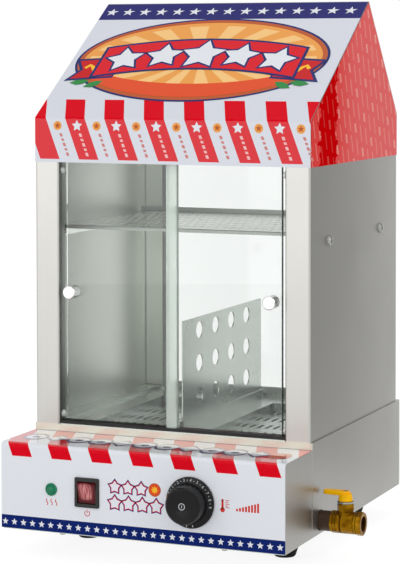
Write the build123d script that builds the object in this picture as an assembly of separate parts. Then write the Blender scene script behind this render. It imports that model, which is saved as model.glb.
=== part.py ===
from build123d import *
import os
from math import atan2, cos, hypot, radians, sqrt, tan

# Counter-top hot dog steamer: a folded stainless cabinet with a pitched roof and sliding
# glass doors, standing on a base that holds the water tank, heater, controls and drain.
# Working axes while modelling: X to the right, Y to the back, Z up, with X = 0 on the
# cabinet's middle, Y = 0 on its front face and Z = 0 on the underside of the base walls.
# All sizes are in millimetres.

# ---------------------------------------------------------------- materials and fits
sheet = 1.0             # stainless sheet
film = 0.25             # printed vinyl film
bend = 2.0              # centre-line radius of an ordinary fold
run_gap = 0.3           # gap between pieces that slide or lift apart
pin_gap = 0.05          # radial gap of a shaft or screw in its hole
seat_gap = 0.5          # gap round a piece that drops into a cut-out

# ---------------------------------------------------------------- cabinet and roof
cabinet_w = 302.0
cabinet_d = 269.0
post_w = 27.0           # face of each corner post
post_return = 13.0      # depth of the flange that turns in beside the glass
fascia_z = 363.0        # lower edge of the roof's upright band
eaves_z = 408.5
ridge_z = 529.0
ridge_y = 174.0
ceiling_rise = 9.0      # from the band's lower edge up to the ceiling
ceiling_flange = 12.0

# ---------------------------------------------------------------- base and control box
base_step = 1.5         # how far the base stands out past each side of the cabinet
base_back = 8.0         # how far it stands out behind it
base_h = 93.2
base_flange = 12.0      # flange that turns in along the open bottom
base_r = 2.0
box_d = 71.6            # depth of the control box in front of the cabinet
box_drop = 7.2          # step from the base's top down to the control box's ledge
nose_r = 4.0            # outside radius along the ledge's front edge
rear_flange = 8.0
cover_inset = 1.0
foot_top_r = 18.5
foot_tip_r = 11.0
foot_h = 28.5
foot_inset_x = 43.0     # from the side and end of the base to a foot's centre
foot_inset_y = 38.0
foot_bore_r = 6.5
foot_bore_h = 19.5
air_x = 60.0            # from the middle to each field of air slots
air_slot_l = 28.0
air_slot_w = 4.0
air_pitch = 14.0
air_slots = 9

# ---------------------------------------------------------------- water tank and heater
tank_side = 18.0        # from the base's side to the tank's wall
tank_y0 = 10.0
tank_back = 12.0
tank_floor_z = 30.0
tank_corner_r = 14.0
tank_edge_r = 4.0
tank_rim = 8.0
tank_lip = 3.0          # how far the base's top flange stands back from the tank
element_r = 4.0
element_z = 46.0
element_reach = 14.0    # how far its ends stand out into the control box
element_turn_r = 18.0
terminal_x = 25.0
terminal_nut_af = 17.0
terminal_nut_t = 5.0
collar_r = 8.0
collar_t = 3.0
bulb_r = 3.0
bulb_l = 90.0
bulb_x = 70.0
bulb_z = 62.0
bulb_gland_af = 11.0
bulb_gland_t = 4.0
bulb_tube_l = 26.0

# ---------------------------------------------------------------- chamber floor and trays
floor_sink = 2.6        # the floor's field lies this much lower than its border
floor_side = 20.0       # from the cabinet's side to the sunken field
floor_y0 = 17.0
floor_back = 14.0
tray_side = 24.5        # plain floor on either side of a tray
tray_y0 = 22.0
tray_back = 41.0        # plain floor behind a tray
tray_depth = 9.0
tray_flange = 5.0
slot_w = 3.4
slot_l = 20.0
slot_pitch_x = 9.0
slot_pitch_y = 40.0
tray_columns = 8
tray_rows = 5
divider_t = 1.2
divider_y0 = 33.0
divider_back = 22.0     # from the divider's end to the cabinet's back
divider_h = 109.0
divider_hole_r = 8.8
divider_columns = 4
divider_rows = 3
divider_row_pitch = 34.3
divider_top_margin = 13.5
rail_w = 5.0
rail_h = 8.0

# ---------------------------------------------------------------- doors, tracks and rear pane
glass_t = 4.0
glass_gap = 0.4         # each side of a pane in its groove
track_wall = 1.4
track_base = 1.2
track_low_h = 3.2
track_high_h = 8.5
track_y0 = 1.2
door_gap = 4.0          # between a closed door's outer edge and the post
door_overlap = 10.0
door_top_play = 3.8     # room above the glass, so that a door lifts out
knob_r = 6.75
knob_l = 14.0
knob_inset = 9.0        # from the door's outer edge to the knob's centre
knob_z = 230.0
knob_chamfer = 0.8
door_screw_r = 2.0
door_screw_head_r = 4.0
door_screw_head_t = 1.6
door_screw_grip = 8.0
bumper_r = 4.0
bumper_h = 3.4
bumper_low = 10.0       # above the base's top
bumper_high = 8.0       # below the roof's band
bumper_left_y = 8.8
bumper_right_y = 5.2
trim_wall = 1.2
trim_depth = 6.0
trim_gap = 0.4

# ---------------------------------------------------------------- shelf
shelf_top = 295.2
shelf_y0 = 46.0
shelf_gap = 19.0        # from the shelf's back to the cabinet's back
shelf_lip = 4.0         # flange turned down at the front
shelf_side = 12.5       # flange turned down at each side
shelf_back = 5.0        # flange turned up at the back
shelf_columns = 30
shelf_rows = 7
shelf_slot_w = 3.2
shelf_slot_l = 18.0
shelf_pitch_x = 8.8
shelf_pitch_y = 26.0
m5_r = 2.5
shelf_screw_front = 7.7
shelf_screw_back = 38.0
shelf_screw_z = 287.5
dome_r = 5.4
dome_h = 3.6
m5_nut_af = 8.0
m5_nut_t = 4.0
m5_spare = 2.0          # thread that stands past a nut

# ---------------------------------------------------------------- drain valve
valve_y = 25.0
valve_z = 12.7
nipple_r = 10.0
nipple_bore_r = 6.5
nipple_in = 11.5        # how far the nipple reaches in past the base's side
valve_out = 12.5        # from the base's side to the valve
valve_l = 32.2
socket_depth = 9.0      # how far the elbow takes the nipple
inlet_r = 8.3           # male inlet, screwed into the nipple
inlet_l = 9.0
outlet_r = 7.5
outlet_depth = 8.0
body_r = 10.9
inlet_af = 20.6
inlet_flats_l = 9.5
outlet_af = 22.0
outlet_flats_l = 6.4
body_l = 22.5
stem_in = 13.5          # from the valve's inlet flats to its stem
stem_r = 3.5
ball_r = 6.2
ball_bore_r = 4.0
seat_t = 1.3            # seat between the ball's end and the seat's back
tongue_w = 3.0
tongue_h = 1.9
boss_r = 7.6
boss_h = 11.3
packing_af = 15.0
packing_h = 8.0
washer_r = 8.2
washer_t = 1.6
hub_r = 7.2
hub_h = 6.0
lever_l = 23.0
lever_tail = 4.5
lever_w = 12.0
lever_tip_w = 9.0
lever_t = 4.2
lever_screw_r = 1.75
lever_head_r = 3.0
lever_head_t = 2.2      # depth of the screw head's seat in the lever
elbow_r = 11.6
elbow_pipe_r = 9.5
elbow_bore_r = 6.0
elbow_bend_r = 14.0
elbow_in = 40.0         # from the base's side to the drain hole in the tank

# ---------------------------------------------------------------- controls
lamp_x = -96.2
lamp_z = 42.4
lamp_bezel_r = 6.3
lamp_body_r = 5.0
lamp_lens_r = 4.6
lamp_body_l = 22.0
switch_x = -56.7
switch_z = 42.2
switch_w = 26.5
switch_h = 29.4
switch_lip = 2.0
switch_body_w = 22.0
switch_body_h = 25.0
switch_body_l = 18.0
rocker_w = 19.6
rocker_r = 10.6
rocker_tilt = 11.0
rocker_gap = 0.4
rocker_pivot_in = 1.6   # pivot axis behind the panel's face
rocker_front = 5.0      # from the pivot axis to the rocker's edges in front
rocker_back = 8.0
rocker_dish_r = 60.0
rocker_dish = 2.0       # depth of the dished face
rocker_pin_r = 1.5
rocker_pin_wall = 0.4   # housing left outside the pivot bore
rocker_pin_play = 0.2
dial_x = 54.7
dial_z = 42.0
skirt_r = 25.0
skirt_t = 3.5
cap_r = 19.5
cap_top_r = 17.8
dial_h = 21.0
dial_gap = 1.0
shaft_r = 3.0
shaft_flat = 2.3
bushing_r = 4.8
stat_w = 42.0
stat_h = 34.0
stat_l = 28.0
stat_screw_pitch = 28.0
screw_r = 2.0
screw_head_r = 3.8
screw_head_t = 2.2
gland_inset = 44.0      # from the base's left side to the cord gland
gland_z = 32.0
gland_bore_r = 4.0
gland_thread_r = 9.0
gland_af = 22.0
gland_dome_l = 14.0
lock_nut_t = 4.0
block_ways = 3
block_pitch = 12.0
block_d = 22.0
block_step = 5.0        # shoulder on either side of the raised middle
block_low_h = 8.0
block_h = 15.0
block_y = 30.0          # behind the panel
block_x = 20.0          # from the middle to the terminal block's near end
block_wire_r = 2.4
block_wire_z = 4.5
block_screw_r = 2.0
block_screw_z = 10.0

# ---------------------------------------------------------------- places worked out from them
base_w = cabinet_w + 2 * base_step
base_d = cabinet_d + base_back
tank_w = base_w - 2 * tank_side
tank_d = base_d - tank_y0 - tank_back
ceiling_z = fascia_z + ceiling_rise
floor_w = cabinet_w - 2 * floor_side
floor_d = cabinet_d - floor_y0 - floor_back
tray_w = floor_w / 2 - 2 * tray_side
tray_l = floor_y0 + floor_d - tray_y0 - tray_back
tray_x = floor_w / 4
divider_l = cabinet_d - divider_y0 - divider_back
shelf_d = cabinet_d - shelf_y0 - shelf_gap
shelf_screw_y = (shelf_y0 + shelf_screw_front, shelf_y0 + shelf_d - shelf_screw_back)
wall_x = cabinet_w / 2
inner_x = wall_x - sheet
opening_x = wall_x - post_w
door_edge_x = opening_x - door_gap
door_w = door_edge_x + door_overlap / 2
knob_x = door_edge_x - knob_inset
bumper_zs = (base_h + bumper_low, fascia_z - bumper_high)
nipple_x0 = base_w / 2 - nipple_in
valve_x0 = base_w / 2 + valve_out
stem_x = valve_x0 + stem_in
elbow_x = base_w / 2 - elbow_in
gland_x = gland_inset - base_w / 2
box_y = -box_d
ledge_z = base_h - box_drop
face_y = box_y - film
floor_top = base_h + sheet
field_z = floor_top - floor_sink
tank_top = base_h - sheet
tank_mid_y = tank_y0 + tank_d / 2
slope = atan2(ridge_z - eaves_z, ridge_y)
groove_w = glass_t + 2 * glass_gap
track_w = 3 * track_wall + 2 * groove_w
front_pane_y = track_y0 + track_wall + groove_w / 2
rear_pane_y = front_pane_y + groove_w + track_wall
glass_low_z = floor_top + track_base + run_gap
glass_high_z = ceiling_z - track_base - door_top_play
cover_z = -sheet
foot_x = base_w / 2 - foot_inset_x
foot_ys = (foot_inset_y, base_d - foot_inset_y)
valve_x1 = valve_x0 + valve_l
dial_front_y = face_y - dial_gap - dial_h
gland_out_y = base_d + lock_nut_t + gland_dome_l
drain_z = tank_floor_z

# The finished part stands on its feet at Z = 0, with the middle of its whole outline,
# valve, dial and cord gland included, at X = Y = 0.
middle_x = (valve_x1 - wall_x - dome_h) / 2
middle_y = (gland_out_y + dial_front_y) / 2
lift_z = foot_h + sheet
placing = Pos(-middle_x, -middle_y, lift_z)


# ---------------------------------------------------------------- helpers
def span(x0, x1, y0, y1, z0, z1):
    """Block between two corners."""
    middle = Pos((x0 + x1) / 2, (y0 + y1) / 2, (z0 + z1) / 2)
    return middle * Box(abs(x1 - x0), abs(y1 - y0), abs(z1 - z0))


def along(origin, direction, section, length):
    """Section extruded from origin along a direction."""
    return Plane(origin=origin, z_dir=direction) * extrude(section, length)


def rod(origin, direction, radius, length):
    """Round bar from origin along a direction."""
    return along(origin, direction, Circle(radius), length)


def turned(origin, direction, outline):
    """Solid of revolution: outline in (radius, height) pairs along a direction."""
    section = Plane.XZ * make_face(Polyline(*outline, close=True))
    return Plane(origin=origin, z_dir=direction) * revolve(section, Axis.Z)


def folded(points, thickness=sheet, radius=bend):
    """Section of a folded sheet along its centre line."""
    return trace(FilletPolyline(*points, radius=radius), line_width=thickness)


def rounded_block(width, depth, radius, z0, z1, middle_y):
    """Upright block with rounded corners, centred on X = 0."""
    return Pos(0, middle_y, z0) * extrude(RectangleRounded(width, depth, radius), z1 - z0)


def hexagon(across_flats, turn=0.0):
    """Hexagon by its width across flats."""
    return Rot(0, 0, turn) * RegularPolygon(across_flats / 2, 6, major_radius=False)


def slot_grid(columns, rows, middle_x, middle_y, z0, z1):
    """Punches for a field of slots that run front to back."""
    punch = Box(slot_w, slot_l, z1 - z0)
    places = GridLocations(slot_pitch_x, slot_pitch_y, columns, rows)
    middle = Pos(middle_x, middle_y, (z0 + z1) / 2)
    return [middle * place * punch for place in places]


def save(name, *solids):
    """Write one sub-part, one solid or a group of alike solids."""
    placed = [placing * solid for item in solids for solid in item.solids()]
    shape = placed[0] if len(placed) == 1 else Compound(children=placed)
    export_step(shape, f"parts/{name}.step")


# ---------------------------------------------------------------- cabinet
def side_panel(side):
    """Side wall, corner posts and gable, folded and cut from one sheet."""
    centre = wall_x - sheet / 2
    inner = opening_x + sheet / 2
    front = sheet / 2
    back = cabinet_d - sheet / 2
    plan = folded([
        (side * inner, post_return),
        (side * inner, front),
        (side * centre, front),
        (side * centre, back),
        (side * inner, back),
        (side * inner, cabinet_d - post_return),
    ])
    wall = Pos(0, 0, base_h) * extrude(plan, fascia_z - base_h)
    drop = sheet / cos(slope)
    back_rise = (ridge_z - eaves_z) / (cabinet_d - ridge_y)
    back_drop = sheet * hypot(1, back_rise)
    eaves_front = eaves_z + sheet * tan(slope) - drop
    eaves_back = eaves_z + sheet * back_rise - back_drop
    peak_y = ridge_y + (back_drop - drop) / (back_rise + tan(slope))
    peak_z = ridge_z + (peak_y - ridge_y) * tan(slope) - drop
    if peak_y > ridge_y:
        peak_z = ridge_z - (peak_y - ridge_y) * back_rise - back_drop
    gable = make_face(Polyline(
        (sheet, fascia_z),
        (sheet, eaves_front),
        (peak_y, peak_z),
        (cabinet_d - sheet, eaves_back),
        (cabinet_d - sheet, fascia_z),
        close=True,
    ))
    corners = [corner for corner in gable.vertices() if corner.Y > fascia_z + 1]
    gable = fillet(corners, 2 * sheet)
    inside = inner_x if side > 0 else -wall_x
    panel = wall + Pos(inside, 0, 0) * extrude(Plane.YZ * gable, sheet)
    return panel - shelf_screw_holes(side)


def shelf_screw_holes(side):
    """Drills through a side wall and the shelf's flange."""
    start = side * (inner_x - 2 * sheet)
    return [rod((start, y, shelf_screw_z), (side, 0, 0), m5_r + pin_gap, 4 * sheet)
            for y in shelf_screw_y]


def roof_canopy():
    """Front band, both slopes and rear band, folded from one sheet."""
    front = sheet / 2
    back = cabinet_d - sheet / 2
    rise = (ridge_z - eaves_z) / (cabinet_d - ridge_y)
    section = folded([
        (front, fascia_z),
        (front, eaves_z + front * tan(slope) - front / cos(slope)),
        (ridge_y, ridge_z - front / cos(slope)),
        (back, eaves_z + front * rise - front * hypot(1, rise)),
        (back, fascia_z),
    ], radius=1.5)
    return Pos(-wall_x, 0, 0) * extrude(Plane.YZ * section, cabinet_w)


def chamber_ceiling():
    """Inner ceiling that closes the steam chamber and carries the upper track."""
    side = inner_x - sheet / 2
    section = folded([
        (-side, ceiling_z - ceiling_flange),
        (-side, ceiling_z + sheet / 2),
        (side, ceiling_z + sheet / 2),
        (side, ceiling_z - ceiling_flange),
    ])
    y0 = post_return + 3 * sheet
    y1 = cabinet_d - y0
    ceiling = Pos(0, y0, 0) * extrude(Plane.XZ * section, -(y1 - y0))
    ends = span(-side + bend, side - bend, sheet, cabinet_d - sheet, ceiling_z, ceiling_z + sheet)
    return ceiling + ends


def gable_decal(side):
    """Printed film on a gable."""
    outline = make_face(Polyline(
        (sheet, fascia_z),
        (sheet, eaves_z - sheet),
        (ridge_y, ridge_z - 1.6 * sheet),
        (cabinet_d - sheet, eaves_z - sheet),
        (cabinet_d - sheet, fascia_z),
        close=True,
    ))
    x0 = wall_x if side > 0 else -wall_x - film
    return Pos(x0, 0, 0) * extrude(Plane.YZ * outline, film)


def roof_decal():
    """Printed film on the front band and front slope."""
    out = film / 2
    turn = 1.5 + sheet / 2 + out
    shift = out / cos(slope)
    section = folded([
        (-out, fascia_z),
        (-out, eaves_z - out * tan(slope) + shift),
        (ridge_y - 2 * sheet, ridge_z - 2 * sheet * tan(slope) + shift),
    ], thickness=film, radius=turn)
    return Pos(-wall_x, 0, 0) * extrude(Plane.YZ * section, cabinet_w)


# ---------------------------------------------------------------- base
def flange_screw_places():
    """Screws that hold the bottom cover to the flanges, as (x, y) pairs."""
    x = base_w / 2 - sheet - base_flange / 2
    ys = (base_d * 0.2, base_d * 0.8)
    sides = [(side * x, y) for side in (-1, 1) for y in ys]
    ends = [(side * x * 0.6, y) for side in (-1, 1) for y in (box_y + base_flange / 2 + sheet,
                                                             base_d - base_flange / 2 - sheet)]
    return sides + ends


def screw_holes(radius, z0, z1):
    """Drills for the cover screws."""
    return [rod((x, y, z0), (0, 0, 1), radius, z1 - z0) for x, y in flange_screw_places()]


def base_shell():
    """Open box under the cabinet, with flanges that turn in at top and bottom."""
    middle = base_d / 2
    shell = rounded_block(base_w, base_d, base_r, 0, base_h, middle)
    hollow_w = base_w - 2 * sheet
    hollow_d = base_d - 2 * sheet
    shell -= rounded_block(hollow_w, hollow_d, base_r - sheet / 2, sheet, base_h - sheet, middle)
    top_w = tank_w + 2 * tank_lip
    top_d = tank_d + 2 * tank_lip
    top_r = tank_corner_r + tank_lip
    shell -= rounded_block(top_w, top_d, top_r, base_h - 2 * sheet, base_h + sheet, tank_mid_y)
    low_w = hollow_w - 2 * base_flange
    low_d = hollow_d - 2 * base_flange
    shell -= rounded_block(low_w, low_d, base_r, -sheet, 2 * sheet, middle)
    hole_x = base_w / 2 - 2 * sheet
    shell -= rod((hole_x, valve_y, valve_z), (1, 0, 0), nipple_r + seat_gap, 3 * sheet)
    gland_y = base_d - 2 * sheet
    shell -= rod((gland_x, gland_y, gland_z), (0, 1, 0), gland_thread_r + pin_gap, 3 * sheet)
    # window through which the heater's terminals and the sensor reach the control box
    shell -= span(-terminal_x - 20, bulb_x + 20, -sheet, 2 * sheet,
                  element_z - 14, bulb_z + 12)
    shell -= screw_holes(screw_r + pin_gap, -sheet, 2 * sheet)
    return shell


def box_outline(inset):
    """Side outline of the control box, with its rounded front edge."""
    radius = nose_r - inset
    corners = [
        (0, inset),
        (box_y + inset, inset),
        (box_y + inset, ledge_z - inset),
        (0, ledge_z - inset),
    ]
    outline = make_face(Polyline(*corners, close=True))
    nose = outline.vertices().sort_by(Axis.X)[0:2].sort_by(Axis.Y)[-1]
    return fillet(nose, radius)


def control_box():
    """Folded box for the controls, open behind and below."""
    half = base_w / 2
    box = Pos(-half, 0, 0) * extrude(Plane.YZ * box_outline(0), base_w)
    hollow = Pos(-half + sheet, 0, 0) * extrude(Plane.YZ * box_outline(sheet), base_w - 2 * sheet)
    box -= hollow & span(-half, half, box_y, -sheet, 0, ledge_z)
    inner = half - sheet - rear_flange
    box -= span(-inner, inner, -2 * sheet, sheet, rear_flange, ledge_z - sheet - rear_flange)
    low = half - sheet - base_flange
    box -= span(-low, low, box_y + sheet + base_flange, -2 * sheet, -sheet, 2 * sheet)
    box -= panel_cuts(box_y - sheet, 3 * sheet)
    box -= screw_holes(screw_r + pin_gap, -sheet, 2 * sheet)
    return box


def panel_cuts(y0, depth):
    """Cut-outs for lamp, switch and thermostat, driven from y0 backwards."""
    back = (0, 1, 0)
    cuts = [rod((lamp_x, y0, lamp_z), back, lamp_body_r + pin_gap, depth)]
    half_w = switch_body_w / 2 + pin_gap
    half_h = switch_body_h / 2 + pin_gap
    cuts.append(span(switch_x - half_w, switch_x + half_w, y0, y0 + depth,
                     switch_z - half_h, switch_z + half_h))
    cuts.append(rod((dial_x, y0, dial_z), back, bushing_r + pin_gap, depth))
    for side in (-1, 1):
        x = dial_x + side * stat_screw_pitch / 2
        cuts.append(rod((x, y0, dial_z), back, screw_r + pin_gap, depth))
    return cuts


def panel_decal():
    """Printed film over the control panel and its ledge."""
    out = film / 2
    section = folded([
        (box_y - out, 0),
        (box_y - out, ledge_z + out),
        (-sheet, ledge_z + out),
    ], thickness=film, radius=nose_r + out)
    width = base_w - 2 * film
    skin = Pos(-width / 2, 0, 0) * extrude(Plane.YZ * section, width)
    skin -= panel_cuts(box_y - sheet, 2 * sheet)
    for side in (-1, 1):
        x = dial_x + side * stat_screw_pitch / 2
        skin -= rod((x, box_y - sheet, dial_z), (0, 1, 0), screw_head_r + pin_gap, 2 * sheet)
    return skin


def bottom_cover():
    """Flat cover under base and control box, with air slots under the controls."""
    y0 = box_y + cover_inset
    y1 = base_d - cover_inset
    width = base_w - 2 * cover_inset
    cover = rounded_block(width, y1 - y0, base_r, cover_z, 0, (y0 + y1) / 2)
    slots = GridLocations(air_pitch, air_pitch, air_slots, 1)
    air = [place * SlotOverall(air_slot_l, air_slot_w, rotation=90) for place in slots]
    for x in (-air_x, air_x):
        cover -= Pos(x, box_y / 2, cover_z - sheet) * extrude(Sketch() + air, 3 * sheet)
    cover -= screw_holes(screw_r + pin_gap, cover_z - sheet, sheet)
    for x in (-foot_x, foot_x):
        for y in foot_ys:
            cover -= rod((x, y, cover_z - sheet), (0, 0, 1), m5_r + pin_gap, 3 * sheet)
    return cover


def cover_screws():
    """Pan-head screws through the cover into the flanges."""
    screws = []
    for x, y in flange_screw_places():
        outline = [
            (0, 0),
            (screw_head_r * 0.7, 0),
            (screw_head_r, screw_head_t * 0.6),
            (screw_head_r, screw_head_t),
            (screw_r, screw_head_t),
            (screw_r, screw_head_t + 4 * sheet),
            (0, screw_head_t + 4 * sheet),
        ]
        screws.append(turned((x, y, cover_z - screw_head_t), (0, 0, 1), outline))
    return screws


def rubber_feet():
    """Tapered rubber feet, counterbored for their screws."""
    feet = []
    for x in (-foot_x, foot_x):
        for y in foot_ys:
            outline = [
                (foot_bore_r, 0),
                (foot_tip_r - 1.2, 0),
                (foot_tip_r, 1.2),
                (foot_top_r, foot_h - 4),
                (foot_top_r, foot_h),
                (m5_r + pin_gap, foot_h),
                (m5_r + pin_gap, foot_bore_h),
                (foot_bore_r, foot_bore_h),
            ]
            feet.append(turned((x, y, cover_z - foot_h), (0, 0, 1), outline))
    return feet


def foot_screws():
    """Screws up through the feet and the cover."""
    screws = []
    length = foot_h - foot_bore_h + sheet + m5_nut_t + m5_spare
    for x in (-foot_x, foot_x):
        for y in foot_ys:
            seat = cover_z - foot_h + foot_bore_h
            outline = [
                (0, -3.0),
                (dome_r - 1, -3.0),
                (dome_r, -2.0),
                (dome_r, 0),
                (m5_r, 0),
                (m5_r, length),
                (0, length),
            ]
            screws.append(turned((x, y, seat), (0, 0, 1), outline))
    return screws


def nut(origin, direction, across_flats, bore_r, thickness):
    """Hexagon nut with chamfered corners."""
    blank = along(origin, direction, hexagon(across_flats), thickness)
    corner = across_flats / 2 / cos(radians(30))
    dome = turned(origin, direction, [
        (0, 0),
        (across_flats / 2, 0),
        (corner, thickness * 0.2),
        (corner, thickness * 0.8),
        (across_flats / 2, thickness),
        (0, thickness),
    ])
    return (blank & dome) - rod(origin, direction, bore_r, thickness)


def cord_gland():
    """Compression gland in the rear wall, through which the mains cord would enter."""
    origin = (gland_x, base_d, gland_z)
    back = (0, 1, 0)
    body = along(origin, back, hexagon(gland_af), lock_nut_t)
    dome = turned((gland_x, base_d + lock_nut_t, gland_z), back, [
        (0, 0),
        (gland_af / 2 - 1, 0),
        (gland_af / 2 - 1, gland_dome_l * 0.55),
        (gland_bore_r + 2.4, gland_dome_l),
        (0, gland_dome_l),
    ])
    thread_l = 3 * sheet + lock_nut_t
    thread = rod((gland_x, base_d - thread_l, gland_z), back, gland_thread_r, thread_l)
    gland = body + dome + thread
    length = thread_l + lock_nut_t + gland_dome_l
    return gland - rod((gland_x, base_d - thread_l, gland_z), back, gland_bore_r, length)


def gland_lock_nut():
    """Nut that holds the cord gland from inside."""
    origin = (gland_x, base_d - sheet - lock_nut_t, gland_z)
    return nut(origin, (0, 1, 0), gland_af, gland_thread_r + pin_gap, lock_nut_t)


# ---------------------------------------------------------------- tank and heating
def water_tank():
    """Deep-drawn tank that hangs by its rim under the base's top flange."""
    outer = rounded_block(tank_w, tank_d, tank_corner_r, tank_floor_z, tank_top, tank_mid_y)
    outer = fillet(outer.faces().sort_by(Axis.Z)[0].edges(), tank_edge_r)
    inner_r = tank_corner_r - sheet
    inner = rounded_block(tank_w - 2 * sheet, tank_d - 2 * sheet, inner_r,
                          tank_floor_z + sheet, tank_top + sheet, tank_mid_y)
    inner = fillet(inner.faces().sort_by(Axis.Z)[0].edges(), tank_edge_r - sheet)
    rim_w = tank_w + 2 * tank_rim
    rim_d = tank_d + 2 * tank_rim
    rim_r = tank_corner_r + tank_rim
    rim = rounded_block(rim_w, rim_d, rim_r, tank_top - sheet, tank_top, tank_mid_y)
    tank = outer + rim - inner
    front = tank_y0 - sheet
    for x in (-terminal_x, terminal_x):
        tank -= rod((x, front, element_z), (0, 1, 0), element_r + pin_gap, 3 * sheet)
    tank -= rod((bulb_x, front, bulb_z), (0, 1, 0), bulb_r + pin_gap, 3 * sheet)
    tank -= rod((elbow_x, valve_y, tank_floor_z - sheet), (0, 0, 1), elbow_bore_r, 3 * sheet)
    return tank


def heating_element():
    """Tubular heater bent into one flat loop, with both ends through the tank's front."""
    near = 42.0
    far = tank_y0 + tank_d - 28
    wide = tank_w / 2 - 28
    narrow = 36.0
    back = near + 50
    start = -element_reach
    half = [
        (terminal_x, start),
        (terminal_x, near),
        (wide, near),
        (wide, far),
        (narrow, far),
        (narrow, back),
    ]
    route = half + [(-x, y) for x, y in reversed(half)]
    path = FilletPolyline(*[(x, y, element_z) for x, y in route], radius=element_turn_r)
    section = Plane(origin=path @ 0, z_dir=path % 0) * Circle(element_r)
    heater = sweep(section, path)
    for x in (-terminal_x, terminal_x):
        heater += rod((x, tank_y0 + sheet, element_z), (0, 1, 0), collar_r, collar_t)
    return heater


def element_nuts():
    """Nuts that clamp the heater's ends to the tank's front wall."""
    y = tank_y0 - terminal_nut_t
    return [nut((x, y, element_z), (0, 1, 0), terminal_nut_af, element_r + pin_gap, terminal_nut_t)
            for x in (-terminal_x, terminal_x)]


def thermostat_bulb():
    """Liquid-filled sensor in the tank, with the gland that seals it."""
    start = tank_y0 - 1.5 * bulb_gland_t
    bulb = rod((bulb_x, start, bulb_z), (0, 1, 0), bulb_r, bulb_l)
    tip = bulb.faces().sort_by(Axis.Y)[-1].edges()
    bulb = fillet(tip, bulb_r * 0.8)
    gland_y = tank_y0 - bulb_gland_t
    gland = along((bulb_x, gland_y, bulb_z), (0, 1, 0), hexagon(bulb_gland_af), bulb_gland_t)
    tube = rod((bulb_x, start, bulb_z), (0, -1, 0), bulb_r / 3, bulb_tube_l)
    return bulb + gland + tube


# ---------------------------------------------------------------- chamber floor
def chamber_floor():
    """Pressed floor with a sunken field and two wells for the trays."""
    side = inner_x - run_gap
    y0 = track_y0
    y1 = cabinet_d - sheet
    wide_y0 = post_return + seat_gap
    floor = span(-side, side, wide_y0, cabinet_d - wide_y0, base_h, floor_top)
    neck = opening_x - run_gap
    floor += span(-neck, neck, y0, y1, base_h, floor_top)
    mid = floor_y0 + floor_d / 2
    outer_r = tank_corner_r - 2 * sheet
    pan = rounded_block(floor_w, floor_d, outer_r, field_z - sheet, floor_top, mid)
    hollow = rounded_block(floor_w - 2 * sheet, floor_d - 2 * sheet, outer_r - sheet,
                           field_z, floor_top + sheet, mid)
    floor = floor + pan - hollow
    well_w = tray_w - 2 * tray_flange + 2 * seat_gap
    well_l = tray_l - 2 * tray_flange + 2 * seat_gap
    for side in (-1, 1):
        well = Pos(side * tray_x, tray_y0 + tray_l / 2, field_z)
        floor -= well * Box(well_w, well_l, 4 * sheet)
    return floor


def steam_tray(side):
    """Shallow slotted pan that lets the steam through."""
    skin = 0.8
    inner_w = tray_w - 2 * tray_flange
    inner_l = tray_l - 2 * tray_flange
    low = field_z - tray_depth
    flange = Pos(0, 0, field_z) * extrude(RectangleRounded(tray_w, tray_l, 6), skin)
    pan = Pos(0, 0, low) * extrude(RectangleRounded(inner_w, inner_l, 4.5), tray_depth)
    hollow_w = inner_w - 2 * skin
    hollow_l = inner_l - 2 * skin
    hollow = Pos(0, 0, low + skin) * extrude(RectangleRounded(hollow_w, hollow_l, 3.7),
                                              tray_depth + skin)
    tray = flange + pan - hollow
    tray -= slot_grid(tray_columns, tray_rows, 0, 0, low - skin, low + 2 * skin)
    return Pos(side * tray_x, tray_y0 + tray_l / 2, 0) * tray


def divider_rail():
    """Channel on the floor that holds the divider upright."""
    mid = divider_y0 + divider_l / 2
    rail = span(-rail_w / 2, rail_w / 2, divider_y0 - 2, divider_y0 + divider_l + 2,
                field_z, field_z + rail_h)
    slot = divider_t / 2 + run_gap
    length = divider_l + 6
    return rail - Pos(0, mid, field_z + sheet + rail_h / 2) * Box(2 * slot, length, rail_h)


def divider_plate():
    """Upright plate with round steam holes between the two halves of the chamber."""
    low = field_z + sheet
    high = low + divider_h
    outline = Plane.YZ * (Pos(divider_y0 + divider_l / 2, (low + high) / 2)
                          * RectangleRounded(divider_l, divider_h, 2))
    plate = Pos(-divider_t / 2, 0, 0) * extrude(outline, divider_t)
    pitch = divider_l / (divider_columns + 1)
    for column in range(divider_columns):
        for row in range(divider_rows):
            y = divider_y0 + pitch * (column + 1)
            z = high - divider_top_margin - divider_row_pitch * row
            plate -= rod((-divider_t, y, z), (1, 0, 0), divider_hole_r, 2 * divider_t)
    return plate


# ---------------------------------------------------------------- doors and glazing
def track(z0, z1, opens_up):
    """Twin-groove plastic track for the two panes."""
    bar = span(-opening_x + run_gap, opening_x - run_gap, track_y0, track_y0 + track_w, z0, z1)
    for y in (front_pane_y, rear_pane_y):
        low = z0 + track_base if opens_up else z0 - sheet
        high = z1 + sheet if opens_up else z1 - track_base
        bar -= span(-opening_x, opening_x, y - groove_w / 2, y + groove_w / 2, low, high)
    return bar


def door_glass(side, pane_y):
    """Sliding pane with polished edges and a hole for its knob."""
    outer = side * door_edge_x
    inner = side * (door_edge_x - door_w)
    middle = ((outer + inner) / 2, (glass_low_z + glass_high_z) / 2)
    outline = Pos(*middle) * RectangleRounded(door_w, glass_high_z - glass_low_z, 1.5)
    pane = Pos(0, pane_y - glass_t / 2, 0) * extrude(Plane.XZ * outline, -glass_t)
    pane = chamfer(pane.faces().sort_by(Axis.Y)[0].edges(), 0.4)
    hole = rod((side * knob_x, pane_y - glass_t, knob_z), (0, 1, 0),
               door_screw_r + pin_gap, 2 * glass_t)
    return pane - hole


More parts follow.
